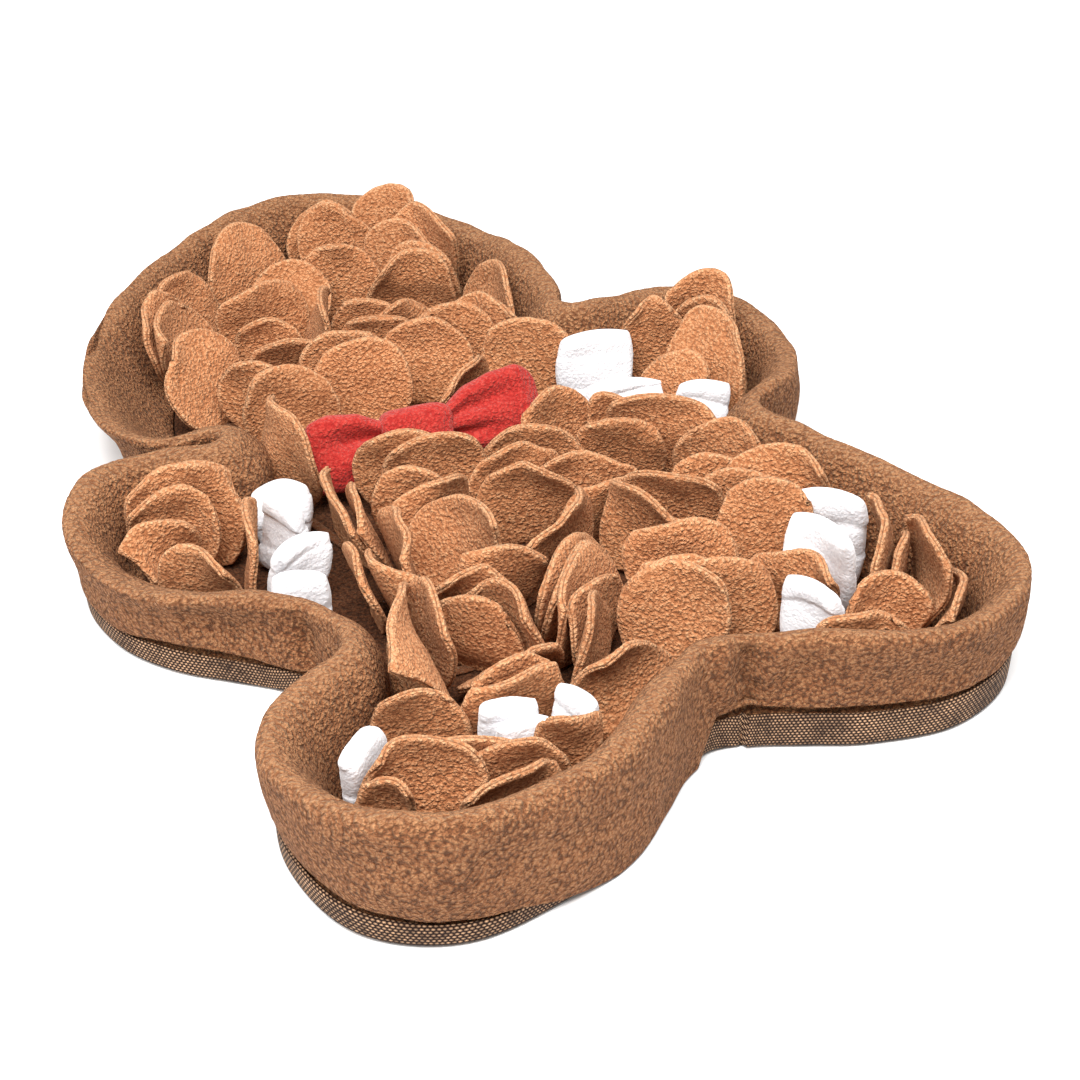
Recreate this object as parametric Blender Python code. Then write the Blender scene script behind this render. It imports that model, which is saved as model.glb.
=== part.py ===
"""Snuffle mat in the shape of a gingerbread biscuit figure, lying flat.

A woven base tray, a soft floor panel, one padded wall that follows the figure's outline, tufts of
standing fleece petals sewn to the floor, white folded strips at wrists and ankles, and a red bow.
Head at +Y, feet at -Y, underside at Z = 0.  All tables are in millimetres and degrees.
"""
import math
import bpy
import bmesh
import numpy as np

MM = 0.001

# driving sizes
BASE_T = 1.6            # woven base thickness
BAND_OUT = 12.2         # outer face of that edge, from the foot line of the wall
FLOOR_Z = 2.0           # underside of the floor panel
FLOOR_T = 2.4           # floor panel thickness
FLOOR_IN = 14.5         # floor panel edge, inwards from the foot line
STRIP_Z = 4.8           # underside of the root strips
STRIP_T = 1.6           # root strip thickness
STRIP_W = 5.0           # root strip width
ROOT_Z = 4.9            # underside of the sewn foot of a petal
ROOT_W = 15.0           # length of that foot
ROOT_T = 2.4            # how much thicker the foot is than the petal
LEAF_Z = 8.4            # where the petal itself starts
LEAF_T = 2.0            # petal thickness
PAD_T = 7.0             # thickness of a folded white strip
CLEAR = 4.3             # distance kept between the middles of neighbouring petals
WALL_CORE = 10.5        # half thickness of the padded wall
WALL_STEPS = 2          # sections between two rows of the wall table

# wall: foot line x, y; height; how far the top leans outwards; scale of the outward bulge;
# height of the turned-up edge of the base there
HEIGHT, LEAN, BULGE, BAND = 2, 3, 4, 5      # columns after x, y
WALL = (
    (0, 270, 50, 8, 1.0, 10), (35, 276, 50, 6, 1.0, 10), (64, 262, 49, 4, 1.0, 10),
    (88, 234, 48, 4, 1.0, 10), (103, 198, 48, 3, 1.0, 10), (107, 160, 50, 3, 1.0, 10),
    (103, 122, 52, 3, 1.0, 10), (98, 99, 52, 1, 0.8, 10), (110, 84, 52, 0, 0.7, 10),
    (134, 80, 50, 2, 0.9, 10), (159, 80, 46, 2, 1.0, 10), (181, 66, 44, 2, 1.0, 10),
    (186, 40, 43, 2, 1.0, 10), (178, 10, 45, 2, 1.0, 10), (162, -12, 48, 1, 1.0, 10),
    (148, -21, 50, 0, 0.8, 10), (131, -31, 50, 0, 0.7, 10), (126, -48, 50, 0, 0.8, 10),
    (131, -70, 50, 2, 1.0, 10), (138, -98, 50, 3, 1.0, 10), (146, -138, 50, 4, 1.0, 10),
    (147, -176, 52, 5, 1.0, 17), (131, -204, 56, 5, 1.0, 17), (100, -213, 57, 6, 1.0, 17),
    (68, -204, 57, 6, 1.0, 17), (46, -192, 56, 4, 1.0, 17), (24, -179, 54, 3, 1.0, 17),
    (2, -174, 54, 0, 0.9, 15), (-20, -180, 54, 2, 1.0, 12), (-40, -193, 56, 2, 1.0, 7),
    (-64, -207, 58, 2, 1.0, 5), (-98, -213, 59, 2, 1.0, 8), (-130, -211, 59, 2, 1.0, 10),
    (-154, -192, 58, 3, 1.0, 12), (-160, -160, 56, 6, 1.0, 12), (-153, -136, 54, 4, 1.0, 12),
    (-132, -121, 52, 2, 1.0, 12), (-115, -109, 52, 0, 0.8, 10), (-107, -92, 50, 0, 0.7, 12),
    (-111, -70, 48, 0, 0.8, 12), (-122, -50, 46, 2, 1.0, 12), (-138, -34, 44, 4, 1.0, 12),
    (-155, -16, 42, 8, 1.0, 12), (-167, 8, 42, 9, 1.0, 10), (-169, 36, 44, 7, 1.0, 10),
    (-157, 60, 46, 5, 1.0, 10), (-138, 67, 46, 2, 0.9, 10), (-117, 60, 48, 0, 0.7, 10),
    (-101, 57, 50, 0, 0.6, 10), (-92, 67, 50, 0, 0.6, 10), (-99, 81, 48, 3, 0.7, 10),
    (-112, 96, 44, 10, 0.8, 10), (-115, 120, 42, 16, 1.0, 10), (-110, 148, 42, 18, 1.0, 10),
    (-98, 180, 44, 16, 1.0, 10), (-76, 214, 46, 12, 1.0, 10), (-42, 246, 48, 10, 1.0, 10),
)
# cross-section of the wall: distance outwards from the foot line, with the height above the ground
SECTION_LOW_IN = ((-9.0, 2.0), (-10.5, 13.0))
SECTION_LOW_OUT = ((13.0, 3.8), (9.6, 1.0))   # these two above the turned-up edge
LOW = 13.0              # the wall leans only above this height
# the part above, with the share of the way from LOW to the top
SECTION_HIGH = ((-10.5, 0.58), (-7.5, 0.89), (0.5, 1.0), (7.5, 0.93), (12.0, 0.72), (13.8, 0.38))

# petals: where the tip stands, which way the face looks, how far it leans back at the root,
# how much more at the tip, width, length, and how far it curls around (positive: hollow in front)
PETAL_COLUMNS = ("tip_x", "tip_y", "face", "lean", "bend", "width", "length", "curl")
TUFTS = {
    "head_back_left": (
        (-8, 257, 285, 12, 6, 54, 48, 10),
        (10, 230, 240, 45, 0, 44, 44, 0)),
    "head_back_right": (
        (45, 264, 250, 12, 8, 44, 51, 10),
        (62, 238, 242, 8, 0, 46, 53, 15),
        (41, 214, 245, 5, 0, 46, 43, 10)),
    "head_far_right": (
        (78, 238, 242, 8, 4, 44, 62, 10),
        (95, 215, 230, 4, 12, 44, 58, 10),
        (77, 214, 240, 8, 0, 48, 48, 10)),
    "head_right_cup": (
        (60, 187, 240, -5, 0, 52, 42, 80),
        (79, 193, 230, 0, 0, 42, 44, 20)),
    "head_right_wall": (
        (94, 158, 185, 10, 0, 50, 48, 10),
        (85, 127, 225, 18, 0, 46, 44, 0),
        (78, 84, 235, 10, 0, 48, 46, 10)),
    "head_middle": (
        (22, 162, 240, 0, 0, 42, 38, 0),
        (39, 148, 250, 0, 0, 36, 40, 20),
        (58, 125, 240, 10, 0, 44, 42, 0)),
    "head_front": (
        (21, 144, 240, 5, 0, 46, 38, 10),
        (36, 118, 240, 12, 0, 48, 42, 10),
        (32, 76, 285, -8, -10, 42, 40, 0)),
    "head_front_left": (
        (-3, 133, 245, 5, 0, 46, 42, 15),
        (-2, 116, 243, 14, 0, 50, 44, 15),
        (-46, 110, 245, 12, 0, 48, 42, 15)),
    "head_left_wall": (
        (-84, 204, 305, 12, 0, 46, 50, 10),
        (-56, 228, 309, 8, 0, 52, 48, 60)),
    "head_left": (
        (-62, 202, 290, 10, 0, 44, 44, 0),
        (-36, 195, 262, -20, -10, 48, 38, 10)),
    "head_left_corner": (
        (-89, 168, 300, 30, 0, 50, 50, 10),
        (-54, 133, 235, 5, 0, 38, 38, 0)),
    "head_left_low": (
        (-1, 175, 170, 10, 0, 44, 44, 10),
        (-32, 165, 230, 10, 0, 36, 38, 0),
        (-30, 144, 248, -20, -15, 42, 38, 0)),
    "neck_middle": (
        (-50, 72, 238, -42, 0, 40, 30, 0),
        (-14, 71, 240, -42, 0, 40, 30, 0)),
    "neck_left": (
        (-82, 62, 246, -4, 0, 30, 52, 150),
        (-79, 9, 2, 20, 16, 54, 46, 0)),
    "side_left": (
        (-63, -7, 0, 5, 25, 44, 44, 10),
        (-62, -38, 356, 5, 20, 50, 46, 0)),
    "side_left_low": (
        (-84, -42, 350, 12, 0, 38, 42, 10),
        (-73, -66, 345, 14, 0, 40, 42, 0),
        (-82, -98, 10, 10, 6, 46, 44, 10),
        (-62, -86, 40, -8, 0, 48, 38, 100)),
    "chest_left": (
        (-25, 29, 240, 5, 0, 44, 44, 10),
        (-11, 18, 240, 8, 0, 50, 44, 10)),
    "chest_low_left": (
        (-39, -2, 240, 0, 0, 34, 40, 10),
        (-29, -18, 290, 12, 0, 38, 44, 10),
        (-24, -52, 225, 30, 0, 48, 46, 0)),
    "chest_middle": (
        (9, -13, 250, 0, 0, 50, 42, 30),
        (4, -27, 250, -4, 0, 52, 40, 40)),
    "chest_right": (
        (31, 6, 240, 10, 0, 50, 44, 10),
        (42, -29, 250, 0, 0, 48, 38, 20)),
    "chest_far_right": (
        (58, 12, 275, 0, 0, 50, 46, 120),
        (75, 2, 255, 0, 0, 32, 42, 80)),
    "side_right_cup": (
        (94, -10, 225, 12, 0, 54, 48, 50),
        (70, -20, 245, -15, 0, 46, 40, 20)),
    "belly_back": (
        (38, -46, 270, -10, -10, 48, 39, 0),
        (21, -61, 283, -15, -15, 52, 40, 0),
        (-27, -75, 290, -8, -5, 32, 40, 0)),
    "belly_right": (
        (43, -78, 215, 0, 0, 54, 40, 120),
        (60, -68, 250, 20, 0, 46, 44, 0),
        (86, -82, 240, 5, 0, 42, 40, 0)),
    "belly_pages": (
        (-9, -84, 286, -12, 0, 52, 37, 0),
        (-4, -93, 286, -6, 0, 52, 38, 0),
        (4, -102, 288, 0, 0, 52, 39, 0)),
    "belly_left": (
        (-43, -84, 225, 0, 0, 42, 38, 10),
        (-38, -106, 210, 0, -10, 44, 42, 0)),
    "belly_flap": (
        (-58, -128, 250, -25, -50, 46, 52, 0),
        (-59, -140, 262, -10, 0, 46, 40, 0)),
    "belly_low": (
        (-13, -112, 304, 10, 0, 44, 42, 10),
        (-29, -131, 304, 5, 0, 42, 42, 20)),
    "hip_left": (
        (-91, -118, 208, 10, 0, 46, 48, 0),
        (-72, -158, 255, -25, -15, 44, 40, 0)),
    "crotch": (
        (9, -131, 232, 24, 0, 42, 50, 10),
        (-24, -153, 235, 35, 0, 40, 42, 0)),
    "hip_right": (
        (34, -112, 245, 0, 0, 46, 40, 10),
        (27, -123, 245, 0, 0, 42, 38, 20),
        (48, -141, 240, 10, 0, 52, 44, 10)),
    "hip_far_right": (
        (57, -107, 245, 0, 0, 36, 40, 0),
        (92, -99, 235, 16, 0, 50, 48, 0),
        (78, -126, 235, 18, 0, 40, 46, 0)),
    "side_right": (
        (109, -45, 215, 8, 0, 48, 46, 30),
        (92, -62, 245, -4, 0, 48, 38, 10),
        (124, -84, 240, 14, 0, 50, 48, 0)),
    "hand_left": (
        (-125, 50, 240, 0, 0, 50, 42, 70),
        (-138, 58, 235, 4, 0, 50, 43, 60),
        (-148, 52, 225, 6, 0, 40, 42, 50)),
    "hand_left_front": (
        (-120, 14, 155, 5, 0, 46, 42, 20),
        (-155, 15, 320, 6, 0, 32, 38, 180),
        (-136, -5, 243, -6, 0, 36, 38, 0)),
    "hand_right": (
        (159, 40, 232, 4, 0, 34, 46, 60),
        (168, 49, 225, 4, 0, 38, 53, 90),
        (176, 57, 225, 6, 0, 42, 61, 100)),
    "hand_right_back": (
        (143, 69, 228, 6, 6, 34, 56, 10),),
    "hand_right_front": (
        (134, 34, 196, 26, 0, 42, 44, 0),
        (166, 24, 225, 18, 0, 38, 44, 10),
        (176, 8, 215, 14, 25, 46, 56, 10)),
    "foot_left": (
        (-108, -139, 242, 5, 0, 40, 44, 10),
        (-124, -158, 238, 28, 0, 46, 46, 0),
        (-148, -164, 240, 5, 0, 24, 32, 90)),
    "foot_left_front": (
        (-92, -174, 250, -8, 0, 42, 37, 10),
        (-88, -185, 246, -4, 0, 40, 38, 0),
        (-92, -196, 246, -6, 0, 40, 36, 0),
        (-57, -194, 225, 0, 0, 24, 42, 80)),
    "foot_right": (
        (132, -148, 295, -18, -10, 46, 46, 0),
        (120, -163, 309, -6, 0, 40, 44, 0),
        (131, -172, 309, -4, 0, 36, 46, 0)),
    "foot_right_front": (
        (103, -172, 260, 0, 0, 38, 40, 100),
        (88, -188, 250, -4, 0, 44, 40, 10),
        (118, -193, 285, -5, 0, 32, 44, 0)),
}

# folded white strips, the same columns as the petals
PADS = {
    "wrist_strips_left": (
        (-104, 41, 250, 6, 0, 28, 36, 0),
        (-98, 20, 200, 12, 0, 28, 38, 0),
        (-114, -9, 262, 8, 0, 30, 34, 0),
        (-108, -32, 245, 14, 0, 26, 30, 0)),
    "wrist_strips_right": (
        (108, 55, 240, 6, 0, 40, 42, 0),
        (102, 20, 243, 8, 0, 42, 36, 0),
        (131, -1, 225, 8, 0, 26, 36, 0)),
    "ankle_strip_outer": (
        (-134, -140, 305, 2, 0, 28, 36, 0),),
    "ankle_strips_left": (
        (-85, -156, 225, 6, 0, 22, 36, 0),
        (-75, -169, 235, 4, 0, 22, 36, 0),
        (-54, -178, 215, 0, 0, 20, 38, 0)),
    "ankle_strips_right": (
        (130, -120, 225, 26, 0, 36, 44, 0),
        (107, -146, 215, 18, 0, 36, 42, 0),
        (78, -164, 215, 10, 0, 28, 38, 0)),
}

# bow: centre of the knot, heading of its length, how far it leans back
BOW_AT = (-6, 50, 31)
BOW_HEADING = -7
BOW_TILT = 32
# from one end to the other: distance along, rise, half height, half thickness
BOW = ((-57.5, -2, 14, 3), (-52, -2, 18, 7), (-42, -1, 19, 9), (-28, 0, 16, 9), (-17, 0, 10, 7),
       (-14, 0, 12, 10), (0, 0, 13, 11), (14, 0, 12, 10), (17, 0, 10, 7), (28, 1, 16, 9),
       (42, 2, 19, 9), (57, 3, 20, 8), (65, 4, 16, 3))
# the same as three rounded lumps, to keep the petals off it
BOW_LUMPS = ((-35, -1, (29, 22, 11)), (0, 0, (18, 14, 12)), (41, 2, (29, 22, 11)))


def rad(degrees):
    return math.radians(degrees)


def heading(degrees):
    """Level unit vector with this heading, 0 along +X and 90 along +Y."""
    return np.array([math.cos(rad(degrees)), math.sin(rad(degrees)), 0.0])


def smooth_rows(rows, steps):
    """Closed curve through the rows, every column alike, with so many samples from row to row."""
    rows = np.array(rows, float)
    t = (np.arange(steps) / steps)[None, :, None]
    before, here = np.roll(rows, 1, axis=0)[:, None], rows[:, None]
    after, beyond = np.roll(rows, -1, axis=0)[:, None], np.roll(rows, -2, axis=0)[:, None]
    curve = (2 * here + (after - before) * t + (2 * before - 5 * here + 4 * after - beyond) * t ** 2
             + (3 * here - before - 3 * after + beyond) * t ** 3) / 2
    return curve.reshape(-1, rows.shape[1])


def outward_normals(xy):
    """Level unit normals of a closed clockwise line, pointing outwards."""
    along = np.roll(xy, -1, axis=0) - np.roll(xy, 1, axis=0)
    along = along / np.linalg.norm(along, axis=1)[:, None]
    return np.stack([-along[:, 1], along[:, 0]], axis=1)


def offset_line(line, distance):
    """The foot line moved outwards by a distance that follows the bulge column."""
    xy = line[:, :2]
    return xy + outward_normals(xy) * (distance * line[:, BULGE])[:, None]


def new_object(name, vertices, faces, colour, roughness=0.95):
    mesh = bpy.data.meshes.new(name)
    mesh.from_pydata([tuple(v) for v in np.asarray(vertices) * MM], [], [tuple(f) for f in faces])
    mesh.validate()
    bm = bmesh.new()
    bm.from_mesh(mesh)
    bmesh.ops.recalc_face_normals(bm, faces=bm.faces)
    bm.to_mesh(mesh)
    bm.free()
    thing = bpy.data.objects.new(name, mesh)
    bpy.context.scene.collection.objects.link(thing)
    material = bpy.data.materials.new(name + "_material")
    material.use_nodes = True
    shader = material.node_tree.nodes["Principled BSDF"]
    shader.inputs["Base Color"].default_value = (*colour, 1.0)
    shader.inputs["Roughness"].default_value = roughness
    mesh.materials.append(material)
    return thing


def ring_faces(sections, points, closed_section):
    """Quads between neighbouring sections of a closed ring."""
    faces = []
    last = points if closed_section else points - 1
    for i in range(sections):
        j = (i + 1) % sections
        for a in range(last):
            b = (a + 1) % points
            faces.append((i * points + a, j * points + a, j * points + b, i * points + b))
    return faces


def wall_section(row):
    """Section of the wall at one row: distance outwards and height."""
    height, lean, bulge = row[HEIGHT], row[LEAN], row[BULGE]
    points = [(d, z) for d, z in SECTION_LOW_IN]
    for d, share in SECTION_HIGH:
        outward = d * bulge if d > 0 else d
        points.append((outward + lean * share ** 1.3, LOW + share * (height - LOW)))
    points.extend((d * bulge, row[BAND] + z) for d, z in SECTION_LOW_OUT)
    points.append((SECTION_LOW_OUT[1][0] * bulge, SECTION_LOW_IN[0][1]))
    return np.array(points)


def build_wall(line):
    normals = outward_normals(line[:, :2])
    vertices = []
    for row, normal in zip(line, normals):
        for d, z in wall_section(row):
            vertices.append((row[0] + normal[0] * d, row[1] + normal[1] * d, z))
    points = len(wall_section(line[0]))
    return new_object("wall", vertices, ring_faces(len(line), points, True), (0.42, 0.2, 0.09))


def build_base(line):
    """Flat woven panel whose edge turns up all the way round."""
    level, top = np.ones(len(line)), line[:, BAND]
    rings = ((BAND_OUT - 1.4, level * 0.0), (BAND_OUT, level * 1.2), (BAND_OUT, top),
             (BAND_OUT - 1.7, top), (BAND_OUT - 1.7, level * BASE_T))
    lines = [np.c_[offset_line(line, d), z] for d, z in rings]
    vertices = np.stack(lines, axis=1).reshape(-1, 3)
    count, points = len(line), len(rings)
    faces = ring_faces(count, points, False)
    faces.append([i * points for i in range(count)])
    faces.append([i * points + points - 1 for i in range(count)])
    return new_object("base_panel", vertices, faces, (0.03, 0.017, 0.012), 0.8)


def build_floor(line):
    """Flat soft panel inside the wall."""
    thin = line[::WALL_STEPS]
    edge = thin[:, :2] - outward_normals(line[:, :2])[::WALL_STEPS] * FLOOR_IN
    count = len(edge)
    low, high = np.full(count, FLOOR_Z), np.full(count, FLOOR_Z + FLOOR_T)
    vertices = np.vstack([np.c_[edge, low], np.c_[edge, high]])
    faces = [(i, (i + 1) % count, count + (i + 1) % count, count + i) for i in range(count)]
    faces.append(list(range(count)))
    faces.append(list(range(count, 2 * count)))
    return new_object("floor_panel", vertices, faces, (0.25, 0.11, 0.05))


class Leaf:
    """One standing petal or folded strip: a bent, curled disc that stands on its root."""

    def __init__(self, group, row, thickness, squareness):
        size = dict(zip(PETAL_COLUMNS, row))
        self.group, self.thickness, self.squareness = group, thickness, squareness
        self.width, self.length = float(size["width"]), float(size["length"])
        self.lean, self.bend, self.curl = rad(size["lean"]), rad(size["bend"]), rad(size["curl"])
        self.front, self.side = heading(size["face"]), heading(size["face"] + 90)
        middle = self.lean + self.bend / 2
        self.facing = self.front * math.cos(middle) + np.array([0, 0, math.sin(middle)])
        back, _ = self.spine(np.array([self.length]))
        self.root = np.array([size["tip_x"], size["tip_y"], LEAF_Z]) + self.front * back[0]
        self.moves = np.zeros(8)

    def spine(self, along):
        """How far back and how high the middle line is at a distance along it."""
        if abs(self.bend) < 1e-4:
            return along * math.sin(self.lean), along * math.cos(self.lean)
        rate = self.bend / self.length
        angle = self.lean + rate * along
        return (math.cos(self.lean) - np.cos(angle)) / rate, (np.sin(angle) - math.sin(self.lean)) / rate

    def flat(self, u, v):
        """Flat pattern of the petal: a disc cut off at its root; u across -1..1, v up 0..1."""
        radius = self.width / 2
        middle = self.length - radius
        low = math.acos(max(-0.86, min(0.6, -middle / radius)))
        high = rad(48)
        bend = low + (high - low) * v
        edge_x, edge_y = radius * np.sin(bend), middle + radius * np.cos(bend)
        root_x = radius * math.sin(low)
        root_y = middle + radius * math.cos(low)
        top_x, top_y = radius * np.sin(high * u), middle + radius * np.cos(high * u)
        corner_x, corner_y = radius * math.sin(high), middle + radius * math.cos(high)
        x = (1 - v) * u * root_x + v * top_x + u * edge_x - u * ((1 - v) * root_x + v * corner_x)
        y = (1 - v) * root_y + v * top_y + edge_y - ((1 - v) * root_y + v * corner_y)
        y = np.maximum((y - root_y) * self.length / (self.length - root_y), 0.0)
        k = self.squareness
        return x * (1 - k) + u * radius * k, y * (1 - k) + v * self.length * k

    def shapes(self, u, v):
        """The ways in which a petal gives way to its neighbours, one vector field each."""
        one = np.ones_like(u)
        up = np.array([0.0, 0.0, 1.0])
        fields = ((v, self.facing), (v * v, self.facing), (u * v, self.facing),
                  ((u * u - 0.33) * v, self.facing), (v, self.side), (v, up),
                  (one, self.front), (one, self.side))
        return np.stack([f[..., None] * d for f, d in fields], axis=0)

    def surface(self, u, v):
        """Middle surface of the petal in space."""
        x, y = self.flat(u, v)
        back, up = self.spine(y)
        angle = self.lean + self.bend * y / self.length
        turn = self.curl * np.clip(0.25 + y / self.length, 0, 1) / self.width
        turn = np.where(np.abs(turn) < 1e-6, 1e-6, turn)
        across, forward = np.sin(turn * x) / turn, (1 - np.cos(turn * x)) / turn
        zero = np.zeros_like(x)
        ahead = np.stack([zero, zero, np.sin(angle)], -1) + np.cos(angle)[..., None] * self.front
        place = self.root - back[..., None] * self.front + np.stack([zero, zero, up], -1)
        place = place + across[..., None] * self.side + forward[..., None] * ahead
        return place + np.tensordot(self.moves, self.shapes(u, v), axes=1)


def surface_normals(points):
    """Unit normals of a grid of points."""
    across = np.gradient(points, axis=0)
    upward = np.gradient(points, axis=1)
    normal = np.cross(across, upward)
    return normal / np.maximum(np.linalg.norm(normal, axis=-1), 1e-9)[..., None]


def wall_push(points, line, room):
    """How far each point has to move to keep clear of the wall."""
    normals = outward_normals(line[:, :2])
    gap = points[:, None, :2] - line[None, :, :2]
    nearest = np.argmin((gap ** 2).sum(-1), axis=1)
    rows = np.arange(len(points))
    normal = normals[nearest]
    height = line[nearest, HEIGHT]
    share = np.clip((points[:, 2] - LOW) / (height - LOW), 0, 1)
    outward = (gap[rows, nearest] * normal).sum(-1) - line[nearest, LEAN] * share ** 1.3
    core = WALL_CORE
    above = np.maximum(points[:, 2] - (height - core), 0)
    deep = core + room - np.hypot(outward, above)
    inside = (deep > 0) & (outward < 6)
    deep = np.where(inside, np.maximum(deep, np.where(above < 4, outward + core + room, 0)), 0)
    deep = np.clip(deep, 0, 8)
    direction = np.concatenate([-normal, np.full((len(points), 1), 0.0)], axis=1)
    direction[:, 2] = above / core
    return direction * deep[:, None]


def bow_push(points, room):
    """How far each point has to move to keep clear of the bow, taken as three rounded lumps."""
    total = np.zeros_like(points)
    axes = np.array(bow_axes())
    for along, rise, half in BOW_LUMPS:
        centre = np.array(BOW_AT, float) + axes[0] * along + axes[1] * rise
        local = (points - centre) @ axes.T
        scaled = local / (np.array(half) + room)
        size = np.linalg.norm(scaled, axis=1)
        inside = size < 1
        local[:, 0] *= 0.2
        local[:, 1] *= 0.4
        way = local / np.maximum(np.linalg.norm(local, axis=1), 1e-6)[:, None]
        total += (way * (np.clip((1 - size) * 12, 0, 6) * inside)[:, None]) @ axes
    return total


def settle(leaves, line, rounds=120):
    """Lets the petals give way to one another and to the wall, until all stand clear."""
    us, vs = np.meshgrid(np.linspace(-1, 1, 9), np.linspace(0, 1, 9), indexing="ij")
    fields = [leaf.shapes(us, vs).reshape(8, -1, 3) for leaf in leaves]
    stiff = np.array([0.6, 2.0, 1.5, 4.0, 3.0, 6.0, 3.0, 3.0])
    start = [leaf.surface(us, vs).reshape(-1, 3).mean(0) for leaf in leaves]
    reach = [max(leaf.width, leaf.length) * 0.62 for leaf in leaves]
    pairs = [(a, b) for a in range(len(leaves)) for b in range(a + 1, len(leaves))
             if np.linalg.norm(start[a] - start[b]) < reach[a] + reach[b] + 6]
    sides = {}
    for step in range(rounds):
        grids = [leaf.surface(us, vs) for leaf in leaves]
        normals = [surface_normals(g).reshape(-1, 3) for g in grids]
        points = [g.reshape(-1, 3) for g in grids]
        lows, highs = [p.min(0) for p in points], [p.max(0) for p in points]
        pushes = [np.zeros_like(p) for p in points]
        weights = [np.full(len(p), 0.03) for p in points]
        for a, b in pairs:
            if (lows[a] > highs[b] + 6).any() or (lows[b] > highs[a] + 6).any():
                continue
            apart = points[a][:, None] - points[b][None]
            distance = np.einsum("ijk,ijk->ij", apart, apart)
            if distance.min() > 120:
                continue
            room = (leaves[a].thickness + leaves[b].thickness) / 2 + CLEAR - LEAF_T
            other_way = (b, a, distance.T, -apart.transpose(1, 0, 2))
            for p, q, table, far in ((a, b, distance, apart), other_way):
                near = np.argmin(table, axis=1)
                rows = np.arange(len(near))
                normal = normals[q][near]
                offset = far[rows, near]
                height = (offset * normal).sum(-1)
                beside = np.sqrt(np.maximum(table[rows, near] - height ** 2, 0))
                touching = beside < 4.6
                if not touching.any():
                    continue
                if (p, q) not in sides:
                    between = points[p].mean(0) - points[q].mean(0)
                    sides[p, q] = 1.0 if (between * normals[q].mean(0)).sum() > 0 else -1.0
                side = sides[p, q]
                deep = np.where(touching, np.clip(room - side * height, 0, 6), 0)
                if not (deep > 0).any():
                    continue
                move = normal * (side * deep * 0.5)[:, None]
                pushes[p] += move
                weights[p] = np.maximum(weights[p], deep > 0)
                np.add.at(pushes[q], near, -move)
                np.maximum.at(weights[q], near, (deep > 0).astype(float))
        for n, leaf in enumerate(leaves):
            push = pushes[n] + wall_push(points[n], line, leaf.thickness / 2 + 1.6)
            push = push + bow_push(points[n], leaf.thickness / 2 + 2)
            low = np.maximum(STRIP_Z + STRIP_T + leaf.thickness / 2 + 0.8 - points[n][:, 2], 0)
            low = low * (vs.reshape(-1) > 0.1)
            push[:, 2] += low
            weight = np.maximum(weights[n], (np.abs(push).sum(-1) > 0).astype(float))
            basis = fields[n] * np.sqrt(weight)[None, :, None]
            target = push * np.sqrt(weight)[:, None]
            normal_matrix = np.einsum("iak,jak->ij", basis, basis) + np.diag(stiff)
            answer = np.linalg.solve(normal_matrix, np.einsum("iak,ak->i", basis, target))
            leaf.moves = leaf.moves + 0.7 * answer


def leaf_body(leaf, across, upward):
    """Closed body of a petal: both faces and the rim."""
    us, vs = np.meshgrid(np.linspace(-1, 1, across + 1), np.linspace(0, 1, upward + 1), indexing="ij")
    middle = leaf.surface(us, vs)
    sideways = leaf.moves[7] + us[:, 0] * ROOT_W / 2
    foot = leaf.root + leaf.moves[6] * leaf.front + sideways[:, None] * leaf.side
    foot[:, 2] = ROOT_Z
    middle = np.concatenate([foot[:, None], middle], axis=1)
    shift = surface_normals(middle) * leaf.thickness / 2
    shift[:, 0] = leaf.front * (leaf.thickness + ROOT_T) / 2
    upward += 1
    shift[:, 0] *= np.sign((shift[:, 0] * shift[:, 1]).sum(-1))[:, None]
    count = (across + 1) * (upward + 1)
    vertices = np.vstack([(middle + shift).reshape(-1, 3), (middle - shift).reshape(-1, 3)])

    def at(i, j):
        return i * (upward + 1) + j

    faces = []
    for i in range(across):
        for j in range(upward):
            quad = (at(i, j), at(i + 1, j), at(i + 1, j + 1), at(i, j + 1))
            faces.append(quad)
            faces.append(tuple(count + k for k in reversed(quad)))
    rim = [at(i, 0) for i in range(across)] + [at(across, j) for j in range(upward)]
    rim += [at(i, upward) for i in range(across, 0, -1)] + [at(0, j) for j in range(upward, 0, -1)]
    for k, a in enumerate(rim):
        b = rim[(k + 1) % len(rim)]
        faces.append((a, count + a, count + b, b))
    return vertices, faces


def bar_body(start, end):
    """Root strip between two petal roots, with its ends a little beyond them."""
    start, end = np.array(start[:2]), np.array(end[:2])
    along = end - start
    length = np.linalg.norm(along)
    along = along / length if length > 1e-6 else np.array([1.0, 0.0])
    across = np.array([-along[1], along[0]]) * STRIP_W / 2
    start, end = start - along * 1.5, end + along * 1.5
    low = [start - across, end - across, end + across, start + across]
    vertices = [(*p, STRIP_Z) for p in low] + [(*p, STRIP_Z + STRIP_T) for p in low]
    faces = [(3, 2, 1, 0), (4, 5, 6, 7), (0, 1, 5, 4), (1, 2, 6, 5), (2, 3, 7, 6), (3, 0, 4, 7)]
    return np.array(vertices), faces


def join(target, others):
    """Exact union of a thing with others, which are used up."""
    for other in others:
        fuse = target.modifiers.new("fuse", "BOOLEAN")
        fuse.operation, fuse.solver, fuse.object = "UNION", "EXACT", other
        bpy.context.view_layer.update()
        graph = bpy.context.evaluated_depsgraph_get()
        mesh = bpy.data.meshes.new_from_object(target.evaluated_get(graph))
        target.modifiers.clear()
        target.data = mesh
        bpy.data.objects.remove(other)
    bm = bmesh.new()
    bm.from_mesh(target.data)
    bmesh.ops.dissolve_limit(bm, angle_limit=rad(0.3), verts=bm.verts, edges=bm.edges)
    bm.to_mesh(target.data)
    bm.free()


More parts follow.
